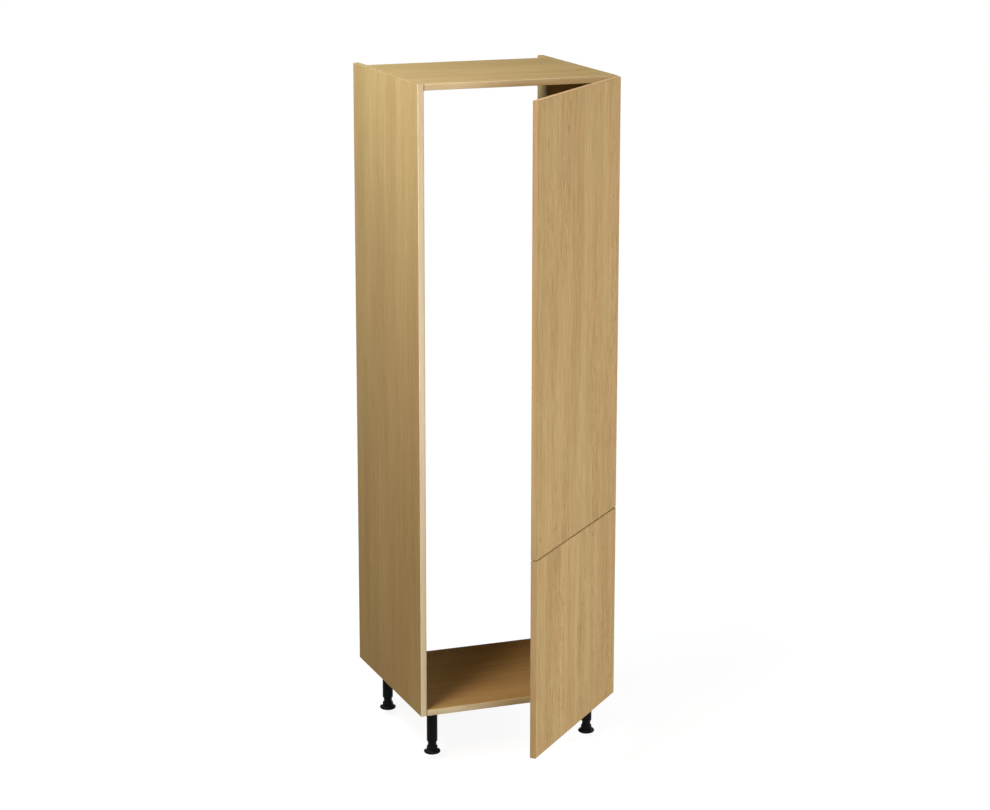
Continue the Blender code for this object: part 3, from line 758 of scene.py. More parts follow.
@dataclass(frozen=True, kw_only=True)
class OakFinish(Finish):
    """Oak grain on a board's faces or on its edging.

    Wear rubs the arrises, and joint darkens the two ends as dark joints. Rim is painted shade on
    the face on the rim side, where a rounded inner arris turns from the light, and partly a glue
    line;
    the rim side is 0 for the face at Y 0 and 1 for the other.
    """

    pale: Colour
    warm: Colour
    dark: Colour
    worn: Colour
    bands: float
    streaks: float
    fibres: float
    flecks: float
    pores: float
    satin: float
    wear: float = 0.16
    wear_width: float = 0.0025
    wear_gloss: float = -0.15
    joint: float = 0.0
    rim: float = 0.0
    rim_side: float = -1.0
    relief: float = 0.00005
    effect: ClassVar[Effect] = OAK_GRAIN
    shine: ClassVar[dict[str, float]] = {"Specular IOR Level": 0.002}
    # The brown of the dark joints, and of the painted shade along the rim.
    joint_brown: ClassVar[Colour] = (0.160, 0.085, 0.030)

    def board_material(
        self, name: str, own: OwnFrame, seed: float, grain: Grain
    ) -> bpy.types.Material:
        """Makes the material for one board's pieces.

        Args:
            name: The material's name.
            own: The board's frame.
            seed: Which part of the endless grain pattern it shows.
            grain: Which way the fibres run in the board's frame.

        Returns:
            The material.
        """
        material = bpy.data.materials.new(name)
        graph = empty_graph(material)
        place = along = own.place(graph)
        if grain is Grain.CROSSWISE:
            turn = {"Vector": place, "Rotation": (0.0, QUARTER_TURN, 0.0)}
            along = graph.node("ShaderNodeMapping", turn).outputs[0]
        oak = self.skin(graph, {"Vector": along, "Seed": seed})
        feeds = {
            "Vector": place,
            "Size": tuple(own.size),
            "Width": self.wear_width,
            "Rim side": self.rim_side,
        }
        edges = HANDLED_EDGES.place(graph, feeds).outputs
        rubbed = graph.math("MULTIPLY", edges["Mask"], self.wear)
        colour = graph.blend(rubbed, oak["Color"], self.worn)
        # Ends are dark joints; Rim is painted shade along the inner arris, partly a glue line.
        for mask, amount in (("Ends", self.joint), ("Rim", self.rim)):
            if amount:
                dirt_and_shade = graph.math("MULTIPLY", edges[mask], amount)
                colour = graph.blend(dirt_and_shade, colour, self.joint_brown)
        dull = graph.math("MULTIPLY_ADD", rubbed, self.wear_gloss, oak["Roughness"])
        self.shade(graph, colour, dull, oak["Height"])
        return material


@dataclass(frozen=True, kw_only=True)
class PlasticFinish(Finish):
    """Moulded plastic."""

    plastic: Colour
    dust: Colour
    gloss: float
    relief: float = 0.00003
    effect: ClassVar[Effect] = MOULDED_SKIN
    shine: ClassVar[dict[str, float]] = {"Specular IOR Level": 0.05}


@dataclass(frozen=True, kw_only=True)
class MetalFinish(Finish):
    """Plated or cast metal."""

    bright: Colour
    dim: Colour
    gloss: float
    coarseness: float
    relief: float = 0.00002
    effect: ClassVar[Effect] = PLATED_SKIN
    shine: ClassVar[dict[str, float]] = {"Metallic": 1.0}


BOARD_OAK = OakFinish(
    pale=(0.483, 0.350, 0.148),
    warm=(0.483, 0.327, 0.148),
    dark=(0.266, 0.166, 0.059),
    worn=(0.531, 0.400, 0.200),
    bands=0.40,
    streaks=0.24,
    fibres=0.40,
    flecks=0.22,
    pores=0.35,
    satin=0.52,
)
DOOR_OAK = OakFinish(
    pale=(0.694, 0.484, 0.226),
    warm=(0.711, 0.464, 0.224),
    dark=(0.354, 0.210, 0.076),
    worn=(0.708, 0.496, 0.251),
    bands=0.30,
    streaks=0.30,
    fibres=0.55,
    flecks=0.90,
    pores=0.60,
    satin=0.50,
)
PALE_EDGING = OakFinish(
    pale=(0.694, 0.640, 0.493),
    warm=(0.694, 0.620, 0.470),
    dark=(0.435, 0.341, 0.188),
    worn=(0.734, 0.692, 0.521),
    bands=0.40,
    streaks=0.40,
    fibres=0.30,
    flecks=0.0,
    pores=0.25,
    satin=0.45,
)
# Top and bottom front edging: the pale edging darkened and warmed as painted shade from the open
# doors; joint darkens its ends as dark joints.
SHADED_JOINED_EDGING = replace(
    PALE_EDGING,
    pale=(0.645, 0.570, 0.385),
    warm=(0.640, 0.550, 0.365),
    dark=(0.390, 0.290, 0.140),
    worn=(0.690, 0.620, 0.430),
    joint=0.75,
)
BOARD_EDGING = replace(
    PALE_EDGING,
    pale=(0.454, 0.330, 0.144),
    warm=(0.454, 0.314, 0.141),
    dark=(0.273, 0.176, 0.067),
    worn=(0.492, 0.373, 0.187),
    satin=0.50,
)
DOOR_EDGING = replace(
    PALE_EDGING,
    pale=(0.442, 0.322, 0.165),
    warm=(0.433, 0.306, 0.151),
    dark=(0.236, 0.151, 0.061),
    worn=(0.473, 0.360, 0.208),
    streaks=0.45,
    fibres=0.35,
    pores=0.30,
)
DOOR_END_EDGING = replace(
    DOOR_EDGING,
    pale=(0.620, 0.415, 0.198),
    warm=(0.610, 0.395, 0.188),
    dark=(0.330, 0.200, 0.078),
    worn=(0.640, 0.450, 0.235),
)
LEG_PLASTIC = PlasticFinish(
    plastic=(0.0030, 0.0030, 0.0030), dust=(0.032, 0.030, 0.027), gloss=0.42
)
HINGE_NICKEL = MetalFinish(
    bright=(0.640, 0.625, 0.590), dim=(0.520, 0.505, 0.470), gloss=0.30, coarseness=0.25
)
CAM_ZINC = MetalFinish(
    bright=(0.340, 0.270, 0.130), dim=(0.240, 0.185, 0.085), gloss=0.50, coarseness=0.9
)


# Mesh making


def linked_object(name: str, data: bpy.types.ID) -> bpy.types.Object:
    """Puts an object in the scene.

    Args:
        name: The object's name.
        data: The mesh, lamp or camera that it shows.

    Returns:
        The object.
    """
    piece = bpy.data.objects.new(name, data)
    bpy.context.scene.collection.objects.link(piece)
    return piece


def finished_object(
    name: str, bm: MeshDraft, crease: float = 32.0, stand: Optional[Matrix] = None
) -> bpy.types.Object:
    """Turns a mesh in the making into an object, which stays at the origin as the CAD nodes do.

    Args:
        name: The object's name.
        bm: The mesh, which is used up.
        crease: Faces that meet at more than this many degrees keep a sharp edge.
        stand: What brings the mesh's own frame to the unit's.

    Returns:
        The object.
    """
    if stand is not None:
        bm.transform(stand)
    bmesh.ops.recalc_face_normals(bm, faces=bm.faces)
    mesh = bpy.data.meshes.new(name)
    bm.to_mesh(mesh)
    bm.free()
    mesh.shade_smooth()
    mesh.set_sharp_from_angle(angle=math.radians(crease))
    return linked_object(name, mesh)


def box_mesh(low: Vector, high: Vector) -> MeshDraft:
    """Makes a block.

    Args:
        low: Its lowest corner.
        high: Its highest corner.

    Returns:
        The mesh.
    """
    bm = bmesh.new()
    matrix = Matrix.Translation((low + high) / 2) @ Matrix.Diagonal((*(high - low), 1.0))
    bmesh.ops.create_cube(bm, size=1.0, matrix=matrix)
    return bm


def turned_mesh(
    profile: Sequence[Pair],
    sides: int,
    swell: Optional[Callable[[float, float, float], float]] = None,
) -> MeshDraft:
    """A body turned about Z, closed at both ends of its profile.

    Args:
        profile: Radius and height of each ring, in metres. The first and last may have radius 0.
        sides: How many sides a ring has.
        swell: Gives the radius at a turn, radius and height, where a ring isn't a plain circle.

    Returns:
        The mesh.
    """
    bm = bmesh.new()
    rings = []
    for radius, height in profile:
        if radius == 0:
            rings.append([bm.verts.new((0.0, 0.0, height))])
            continue
        ring = []
        for index in range(sides):
            turn = 2 * math.pi * index / sides
            reach = swell(turn, radius, height) if swell else radius
            ring.append(bm.verts.new((reach * math.cos(turn), reach * math.sin(turn), height)))
        rings.append(ring)
    for lower, upper in zip(rings, rings[1:]):
        for index in range(sides):
            after = (index + 1) % sides
            corners = [lower[index % len(lower)], lower[after % len(lower)]]
            corners += [upper[after % len(upper)], upper[index % len(upper)]]
            bm.faces.new(list(dict.fromkeys(corners)))
    for ring in (rings[0], rings[-1]):
        if len(ring) > 1:
            bm.faces.new(ring)
    return bm


def prism_mesh(outline: Sequence[Pair], low: float, high: float) -> MeshDraft:
    """An outline in XY, drawn up from one height to another.

    Args:
        outline: The outline's points.
        low: The lower height.
        high: The upper height.

    Returns:
        The mesh.
    """
    bm = bmesh.new()
    base, lid = ([bm.verts.new((x, y, height)) for x, y in outline] for height in (low, high))
    bm.faces.new(base[::-1])
    bm.faces.new(lid)
    for index, corner in enumerate(base):
        after = (index + 1) % len(base)
        bm.faces.new((corner, base[after], lid[after], lid[index]))
    return bm


def solid_copy(node: str, into: Matrix) -> MeshDraft:
    """A CAD solid's mesh in another frame, with its doubled corners joined.

    Args:
        node: The CAD node.
        into: What brings the unit's frame to the wanted one.

    Returns:
        The mesh.
    """
    doubled = 0.000002
    solid = frame["nodes"][node].data
    bm = bmesh.new()
    corners = [bm.verts.new(into @ vertex.co) for vertex in solid.vertices]
    for polygon in solid.polygons:
        bm.faces.new([corners[index] for index in polygon.vertices])
    bmesh.ops.remove_doubles(bm, verts=bm.verts, dist=doubled)
    return bm


def trim(bm: MeshDraft, place: Vector, outward: Vector) -> None:
    """Cuts off what lies beyond a plane and closes the cut.

    Args:
        bm: The mesh to cut.
        place: A point of the plane.
        outward: Which way the waste lies.
    """
    on_plane = 0.0000001
    geometry = bm.verts[:] + bm.edges[:] + bm.faces[:]
    cut = bmesh.ops.bisect_plane(
        bm, geom=geometry, dist=on_plane, plane_co=place, plane_no=outward, clear_outer=True
    )
    edges = [item for item in cut["geom_cut"] if isinstance(item, bmesh.types.BMEdge)]
    bmesh.ops.holes_fill(bm, edges=edges, sides=0)


def round_edges(
    bm: MeshDraft, edges: Sequence[bmesh.types.BMEdge], width: float, segments: int
) -> None:
    """Rounds edges of a mesh.

    Args:
        bm: The mesh.
        edges: The edges.
        width: The rounding's width, in metres.
        segments: How many facets the rounding has.
    """
    bmesh.ops.bevel(
        bm,
        geom=edges,
        offset=width,
        offset_type="OFFSET",
        segments=segments,
        profile=0.5,
        affect="EDGES",
        clamp_overlap=True,
    )


def carve(body: MeshDraft, tools: Sequence[MeshDraft]) -> MeshDraft:
    """Cuts tools out of a body.

    Args:
        body: The mesh that is cut, which is used up.
        tools: The cutting meshes, which are used up.

    Returns:
        What is left of the body.
    """
    blank = finished_object("blank", body)
    cutters = [finished_object("cutter", tool) for tool in tools]
    for cutter in cutters:
        change = blank.modifiers.new("cut", "BOOLEAN")
        change.operation = "DIFFERENCE"
        change.solver = "EXACT"
        change.object = cutter
    bpy.context.view_layer.update()
    carved = bmesh.new()
    carved.from_object(blank, bpy.context.evaluated_depsgraph_get())
    for scrap in (blank, *cutters):
        mesh = scrap.data
        bpy.data.objects.remove(scrap)
        bpy.data.meshes.remove(mesh)
    return carved


def arc_points(centre: Pair, radii: Pair, start: float, end: float, steps: int) -> list[Pair]:
    """Points along a part of an ellipse.

    Args:
        centre: Its centre.
        radii: Its half widths along the first and the second axis, in metres.
        start: The angle that it starts at, in degrees.
        end: The angle that it ends at, in degrees.
        steps: How many parts it has.

    Returns:
        The points, both ends among them.
    """
    points = []
    for step in range(steps + 1):
        turn = math.radians(start + (end - start) * step / steps)
        across, up = radii[0] * math.cos(turn), radii[1] * math.sin(turn)
        points.append((centre[0] + across, centre[1] + up))
    return points


# Pieces


@dataclass
class SubAssembly:
    """What every sub-assembly does: it keeps each finished piece on its body."""

    name: str

    def keep(
        self,
        piece: bpy.types.Object,
        body: str,
        slot: Slot,
        material: bpy.types.Material,
        *nodes: str,
    ) -> None:
        """Finishes a piece: its material, its body and the CAD nodes it stands for.

        Args:
            piece: The piece, in place.
            body: The body that it moves with.
            slot: The record's slot that it takes its finish from. It is not used.
            material: Its material.
            *nodes: The CAD nodes that it stands for.
        """
        piece.data.materials.clear()
        piece.data.materials.append(material)
        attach(piece, body)
        if nodes:
            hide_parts(*nodes)
        LOG.info("%s: %s rides on %s", self.name, piece.name, body)

    def dress_node(self, node: str, material: bpy.types.Material) -> None:
        """Gives a CAD node that stays its material.

        Args:
            node: The CAD node.
            material: The material.
        """
        mesh = frame["nodes"][node].data
        mesh.materials.clear()
        mesh.materials.append(material)
        LOG.info("%s: %s stays as it is in the model", self.name, node)


@dataclass(frozen=True)
class EdgingBand:
    """The edging of one edge of a board."""

    side: Side
    thickness: float
    round_radius: float
    finish: OakFinish


@dataclass
class EdgedBoard(SubAssembly):
    """A board with grain faces and an edging glued to its edges, made in its own frame.

    The edging shows another part of the grain than the faces, by the seed step. Places within
    same_place of each other, in metres, count as one.
    """

    node: str
    body: str
    slot: Slot
    axes: Matrix
    face: OakFinish
    bands: Sequence[EdgingBand]
    seed: float
    edging_seed_step: float = 0.37
    glue_gap: float = 0.00004
    round_segments: int = 4
    same_place: float = 0.00001
    own: OwnFrame = field(init=False)

    def __post_init__(self) -> None:
        """Works out the board's own frame from the CAD node."""
        self.own = OwnFrame.of(self.node, self.axes)

    def thickness_of(self, side: Side) -> float:
        """The edging's thickness on a side, or 0."""
        return sum(band.thickness for band in self.bands if band.side is side)

    def build(self) -> None:
        """Builds the board's core and its edging bands."""
        stand, face_name = self.own.matrix, f"{self.name}_face"
        oak = self.face.board_material(face_name, self.own, self.seed, Grain.LENGTHWISE)
        core = finished_object(f"{self.name}_core", self.core_mesh(), stand=stand)
        self.keep(core, self.body, self.slot, oak, self.node)
        materials: dict[tuple[OakFinish, Grain], bpy.types.Material] = {}
        for band in self.bands:
            key = (band.finish, band.side.grain)
            if key not in materials:
                label = f"{self.name}_edging_{len(materials) + 1}"
                seed = self.seed + self.edging_seed_step
                materials[key] = band.finish.board_material(
                    label, self.own, seed, band.side.grain
                )
            name = f"{self.name}_{band.side.value}_edging"
            strip = finished_object(name, self.band_mesh(band), stand=stand)
            self.keep(strip, self.body, self.slot, materials[key], self.node)

    def core_mesh(self) -> MeshDraft:
        """The CAD board, cut back where an edging is glued on.

        Returns:
            The mesh in the board's frame.
        """
        bm = solid_copy(self.node, self.own.matrix.inverted())
        for band in self.bands:
            axis = band.side.axis
            along = Vector([float(index == axis) for index in range(3)])
            outward = along if band.side.is_far else -along
            reach = band.thickness
            if band.side.is_far:
                reach = self.own.size[axis] - band.thickness
            trim(bm, along * reach - outward * self.glue_gap, outward)
        return bm

    def band_mesh(self, band: EdgingBand) -> MeshDraft:
        """One edging band, its long outer edges rounded.

        Args:
            band: Which edge it is on, and its sizes.

        Returns:
            The mesh in the board's frame.
        """
        axis = band.side.axis
        low, high = Vector((0, 0, 0)), self.own.size.copy()
        if band.side.grain is Grain.CROSSWISE:
            low.x += self.thickness_of(Side.FRONT)
            high.x -= self.thickness_of(Side.BACK)
        if band.side.is_far:
            low[axis] = high[axis] - band.thickness
            outer = high[axis]
        else:
            high[axis] = band.thickness
            outer = low[axis]
        bm = box_mesh(low, high)
        long = []
        for edge in bm.edges:
            first, second = (end.co for end in edge.verts)
            on_rim = all(abs(place[axis] - outer) < self.same_place for place in (first, second))
            if on_rim and abs(first.y - second.y) < self.same_place:
                long.append(edge)
        round_edges(bm, long, band.round_radius, self.round_segments)
        return bm


@dataclass
class Carcase(SubAssembly):
    """The four boards of the carcase. The sides' grain stands, the top's and bottom's lies.

    The front edging is thick and pale, and the edging elsewhere thin. The top's and bottom's front
    edging is darker and warmer, as painted shade from the open doors. A faint brown line on the
    sides' front edging, next to their inner faces, is painted shade of the rounded arris and partly
    a glue line.
    """

    edging_thickness: float = 0.0020
    edging_round: float = 0.0014
    thin_edging: float = 0.0006
    thin_round: float = 0.0004
    # How strong the painted arris shade and glue line on the sides' front edging are.
    glue_line: float = 0.25

    def build(self) -> None:
        """Builds the four boards."""
        front = EdgingBand(Side.FRONT, self.edging_thickness, self.edging_round, PALE_EDGING)
        between = replace(front, finish=SHADED_JOINED_EDGING)
        # The sides' front edging, with painted shade and a glue line along the inner rim.
        left, right = (
            replace(front, finish=replace(PALE_EDGING, rim=self.glue_line, rim_side=inner))
            for inner in (0.0, 1.0)
        )
        back, low, high = (
            EdgingBand(side, self.thin_edging, self.thin_round, BOARD_EDGING)
            for side in (Side.BACK, Side.LOW_END, Side.HIGH_END)
        )
        upright = axes_matrix((0, 1, 0), (-1, 0, 0), (0, 0, 1))
        level = axes_matrix((0, 1, 0), (0, 0, 1), (1, 0, 0))
        plans = (
            ("left_side", "side_panel_left", upright, (left, back, low, high), 1.0),
            ("right_side", "side_panel_right", upright, (right, back, low, high), 2.0),
            ("top", "top_panel", level, (between, back), 3.0),
            ("bottom", "bottom_panel", level, (between, back), 4.0),
        )
        for name, node, axes, bands, seed in plans:
            EdgedBoard(
                name, node, "carcase", Slot.OAK_BOARD, axes, BOARD_OAK, bands, seed
            ).build()


@dataclass
class Door(SubAssembly):
    """A door leaf: a board with edging on all four edges, standing open as at rest."""

    leaf: Leaf
    seed: float
    hinge_count: int
    opening: float = 45.4
    edging_thickness: float = 0.00180
    edging_round: float = 0.00171

    @property
    def body(self) -> str:
        """The body that the leaf is."""
        return f"{self.leaf.value}_door_leaf"

    def axes(self) -> Matrix:
        """The door's own axes in the unit's frame."""
        return Matrix.Rotation(math.radians(self.opening), 4, "Z")

    def build(self) -> None:
        """Builds the leaf."""
        ends = (Side.LOW_END, Side.HIGH_END)
        bands = [
            EdgingBand(
                side,
                self.edging_thickness,
                self.edging_round,
                DOOR_END_EDGING if side in ends else DOOR_EDGING,
            )
            for side in Side
        ]
        axes = self.axes()
        EdgedBoard(
            self.name, self.name, self.body, Slot.OAK_DOOR, axes, DOOR_OAK, bands, self.seed
        ).build()


@dataclass
class ScrewHead:
    """A screw's or cam's head with its drive cut in. It stands on Z 0 and looks up.

    Lengths are in metres. The chamfer and the arrow are shares of the radius, and the tapers are
    what is left of the cross's length and width at its bottom.
    """

    radius: float
    height: float
    crown: float
    recess: Recess = Recess.CROSS
    recess_length: float = 0.0040
    recess_width: float = 0.0009
    recess_depth: float = 0.0012
    length_taper: float = 0.45
    width_taper: float = 0.80
    chamfer: float = 0.06
    arrow_tip: float = 0.92
    arrow_root: float = 0.66
    arrow_wing: float = 0.16
    crown_steps: int = 6
    sides: int = 40
    crease: float = 40.0

    def mesh(self) -> bpy.types.Mesh:
        """Builds the head.

        Returns:
            The mesh, for all screws of the kind.
        """
        foot = self.radius * self.chamfer
        profile = [(0.0, 0.0), (self.radius - foot, 0.0), (self.radius, foot)]
        centre, radii = (0.0, self.height - self.crown), (self.radius, self.crown)
        profile += arc_points(centre, radii, 0.0, 90.0, self.crown_steps)[:-1]
        profile.append((0.0, self.height))
        body = carve(turned_mesh(profile, self.sides), self.cutters())
        piece = finished_object("head", body, self.crease)
        mesh = piece.data
        bpy.data.objects.remove(piece)
        return mesh

    def cutters(self) -> list[MeshDraft]:
        """The tools that cut the drive.

        Returns:
            The meshes, in the head's frame.
        """
        tools = [self.blade(0.0), self.blade(QUARTER_TURN)]
        if self.recess is Recess.CROSS_AND_ARROW:
            tip, root, wing = (
                self.radius * share for share in (self.arrow_tip, self.arrow_root, self.arrow_wing)
            )
            outline = ((tip, 0.0), (root, wing), (root, -wing))
            floor = self.height - self.recess_depth / 3
            tools.append(prism_mesh(outline, floor, self.height * 2))
        return tools

    def blade(self, turn: float) -> MeshDraft:
        """One arm pair of the cross, narrower at its bottom.

        Args:
            turn: The angle that it is turned by, in radians.

        Returns:
            The mesh.
        """
        long, wide = self.recess_length / 2, self.recess_width / 2
        low = Vector((-long, -wide, self.height - self.recess_depth))
        bm = box_mesh(low, Vector((long, wide, self.height * 2)))
        for corner in bm.verts:
            if corner.co.z < self.height:
                corner.co.x *= self.length_taper
                corner.co.y *= self.width_taper
        bmesh.ops.rotate(bm, verts=bm.verts, matrix=Matrix.Rotation(turn, 3, "Z"))
        return bm


@dataclass
class CamFitting(SubAssembly):
    """The eight cams that hold the top and bottom, each with its bolt."""

    clearance: float = 0.0001
    crown: float = 0.0004
    cross_length: float = 0.0074
    cross_width: float = 0.0012
    cross_depth: float = 0.0022
    sides: int = 56
    bore_radius: float = 0.0036
    bore_sides: int = 24
    crease: float = 40.0

    def build(self) -> None:
        """Builds the cams and dresses their bolts."""
        zinc = CAM_ZINC.material("cam_zinc")
        steel = HINGE_NICKEL.material("bolt_steel")
        for level in Level:
            for corner in Corner:
                label = f"{level.value}_{corner.value}"
                self.build_cam(label, level, zinc)
                self.dress_node(f"cam_bolt_{label}", steel)

    def build_cam(self, label: str, level: Level, zinc: bpy.types.Material) -> None:
        """Builds one cam: a drum with a cross drive, an arrow to its bolt and the bolt's way in.

        Args:
            label: Its place in the unit.
            level: The board that it is in.
            zinc: Its material.
        """
        low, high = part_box(f"cam_{label}")
        radius = (high.x - low.x) / 2
        height = high.z - low.z - self.clearance
        mesh = ScrewHead(
            radius=radius,
            height=height,
            crown=self.crown,
            recess=Recess.CROSS_AND_ARROW,
            recess_length=self.cross_length,
            recess_width=self.cross_width,
            recess_depth=self.cross_depth,
            sides=self.sides,
        ).mesh()
        drum = bmesh.new()
        drum.from_mesh(mesh)
        bpy.data.meshes.remove(mesh)
        bore = self.bore_radius
        bolt_way = turned_mesh(((bore, 0.0), (bore, radius * 2)), self.bore_sides)
        to_side = Matrix.Rotation(QUARTER_TURN, 4, "Y")
        bolt_way.transform(Matrix.Translation((0, 0, height / 2)) @ to_side)
        drum = carve(drum, [bolt_way])
        turn = Matrix.Rotation(0.0 if low.x > 0 else math.pi, 4, "Z")
        foot, flip = low.z, Matrix.Identity(4)
        if level is Level.BOTTOM:
            foot, flip = high.z, Matrix.Rotation(math.pi, 4, "X")
        stand = Matrix.Translation(((low.x + high.x) / 2, (low.y + high.y) / 2, foot)) @ flip
        cam = finished_object(f"cam_drum_{label}", drum, self.crease, stand @ turn)
        self.keep(cam, "carcase", Slot.ZINC_CASTING, zinc, f"cam_{label}")


@dataclass
class AdjustableLeg(SubAssembly):
    """One leg: a pressed-in insert, a tube, and a foot on a thread that goes up inside the tube.

    Lengths are in metres. A share is a part of the length or radius that it goes with, and a
    pair is the part across and the part up, or the lower and the upper one. The dome's turns are
    in degrees.
    """

    corner: Corner
    plastic: bpy.types.Material
    sides: int = 72
    tube_radius: float = 0.01575
    tube_low: float = 0.0370
    tube_high: float = 0.1377
    tube_bore: float = 0.0133
    bore_top: float = 0.0930
    lip: float = 0.0012
    lip_steps: int = 5
    sink_shares: Pair = (0.14, 0.86)
    sink_share_reach: float = 0.02
    sink_depth: float = 0.00012
    seam_depth: float = 0.00010
    seam_sharpness: float = 12.0
    foot_radius: float = 0.0245
    sole_share: float = 0.80
    sole_hollow_share: float = 0.86
    sole_edge_share: float = 0.92
    sole_recess: float = 0.0008
    dome_height: float = 0.0120
    dome_centre_share: Pair = (0.66, 0.44)
    dome_radius_share: Pair = (0.34, 0.50)
    dome_turns: Pair = (-58.0, 64.0)
    dome_steps: int = 14
    dome_top_share: float = 0.985
    waist_share: float = 0.97
    collar_radius: float = 0.0160
    collar_low: float = 0.0120
    collar_high: float = 0.0220
    collar_start: float = 0.0010
    collar_step: float = 0.0006
    collar_rest: float = 0.0030
    collar_rows: int = 5
    collar_bevel: Pair = (0.0004, 0.0005)
    collar_top_inset: float = 0.0013
    grips: int = 16
    grip_depth: float = 0.0005
    grip_power: int = 3
    grip_insets: Pair = (0.0012, 0.0006)
    thread_root: float = 0.0120
    thread_step: float = 0.0004
    thread_depth: float = 0.0010
    thread_pitch: float = 0.0050
    thread_top: float = 0.0725
    thread_rows_per_turn: int = 10
    thread_crest: float = 1.55
    thread_slope: float = 5.2
    thread_run_in: float = 0.0020
    thread_run_out: float = 0.0030
    thread_end_share: float = 0.93
    thread_end_bevel: float = 0.0005

    def build(self) -> None:
        """Builds the tube and the foot, and dresses the insert."""
        place = self.corner.value
        low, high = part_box(f"leg_foot_{place}")
        stand = Matrix.Translation(((low.x + high.x) / 2, (low.y + high.y) / 2, 0.0))
        pieces = (
            ("leg_tube", "leg_sleeve", "carcase", self.tube_profile(), self.seam),
            ("leg_screw_foot", "leg_foot", f"foot_{place}", self.foot_profile(), self.winding),
        )
        for name, node, body, profile, swell in pieces:
            mesh = turned_mesh(profile, self.sides, swell)
            piece = finished_object(f"{name}_{place}", mesh, stand=stand)
            self.keep(piece, body, Slot.BLACK_PLASTIC, self.plastic, f"{node}_{place}")
        self.dress_node(f"leg_insert_{place}", self.plastic)

    def tube_profile(self) -> list[Pair]:
        """The tube's half section: bore, lower lip, outside with two faint sink rings, and rim.

        Returns:
            Radius and height of each ring.
        """
        r, low, high, lip = self.tube_radius, self.tube_low, self.tube_high, self.lip
        bore = self.tube_bore
        profile = [(0.0, self.bore_top), (bore, self.bore_top), (bore, low + lip / 2)]
        profile += [(bore + lip / 3, low), (r - lip, low)]
        profile += arc_points((r - lip, low + lip), (lip, lip), -90.0, 0.0, self.lip_steps)[1:]
        for middle in self.sink_shares:
            for way, sink in ((-1, 0.0), (0, self.sink_depth), (1, 0.0)):
                share = middle + way * self.sink_share_reach
                profile.append((r - sink, low + (high - low) * share))
        profile += [(r, high - lip / 2), (r - lip / 2, high), (0.0, high)]
        return profile

    def seam(self, turn: float, radius: float, height: float) -> float:
        """The tube's radius, with the faint flat of a mould's parting line on two sides.

        Args:
            turn: The angle round the axis.
            radius: The plain radius.
            height: The height. It is not used.

        Returns:
            The radius there.
        """
        if radius < self.tube_bore + self.lip:
            return radius
        flat = max(0.0, 1.0 - abs(math.sin(turn)) * self.seam_sharpness)
        return radius - self.seam_depth * flat

    def foot_profile(self) -> list[Pair]:
        """The foot's half section: recessed sole, dome, gripped collar, and the thread's rows.

        Returns:
            Radius and height of each ring.
        """
        r, dome, neck = self.foot_radius, self.dome_height, self.collar_radius
        sole, recess = r * self.sole_share, self.sole_recess
        hollow, edge = sole * self.sole_hollow_share, sole * self.sole_edge_share
        profile = [(0.0, recess), (hollow, recess), (edge, 0.0), (sole, 0.0)]
        centre = (r * self.dome_centre_share[0], dome * self.dome_centre_share[1])
        radii = (r * self.dome_radius_share[0], dome * self.dome_radius_share[1])
        profile += arc_points(centre, radii, *self.dome_turns, self.dome_steps)

        profile.append((neck * self.waist_share, dome * self.dome_top_share))
        start = self.collar_low + self.collar_start
        profile.append((neck, start))
        tall = self.collar_high - self.collar_low - self.collar_rest
        for row in range(self.collar_rows + 1):
            profile.append((neck, start + self.collar_step + tall * row / self.collar_rows))
        inward, down = self.collar_bevel
        profile.append((neck - inward, self.collar_high - down))
        profile.append((neck - self.collar_top_inset, self.collar_high))

        root, top = self.thread_root, self.thread_top
        profile.append((root + self.thread_step, self.collar_high))
        step = self.thread_pitch / self.thread_rows_per_turn
        height = self.collar_high + step / 2
        while height < top:
            profile.append((root, height))
            height += step
        end = top + self.thread_end_bevel
        profile += [(root, top), (root * self.thread_end_share, end), (0.0, end)]
        return profile

    def winding(self, turn: float, radius: float, height: float) -> float:
        """The foot's radius with the collar's grips and the thread's winding.

        Args:
            turn: The angle round the axis.
            radius: The plain radius.
            height: The height.

        Returns:
            The radius there.
        """
        low, high = self.grip_insets
        gripped = self.collar_low + low < height < self.collar_high - high
        if gripped and radius > self.thread_root:
            wave = 0.5 + 0.5 * math.cos(turn * self.grips)
            return radius - self.grip_depth * wave ** self.grip_power
        if height <= self.collar_high or radius != self.thread_root:
            return radius
        phase = (height / self.thread_pitch - turn / (2 * math.pi)) % 1.0
        crest = self.thread_crest - abs(phase - 0.5) * self.thread_slope
        run_in = (height - self.collar_high) / self.thread_run_in
        run_out = (self.thread_top - height) / self.thread_run_out
        fade = max(0.0, min(1.0, run_in, run_out))
        return radius + self.thread_depth * min(1.0, max(0.0, crest)) * fade


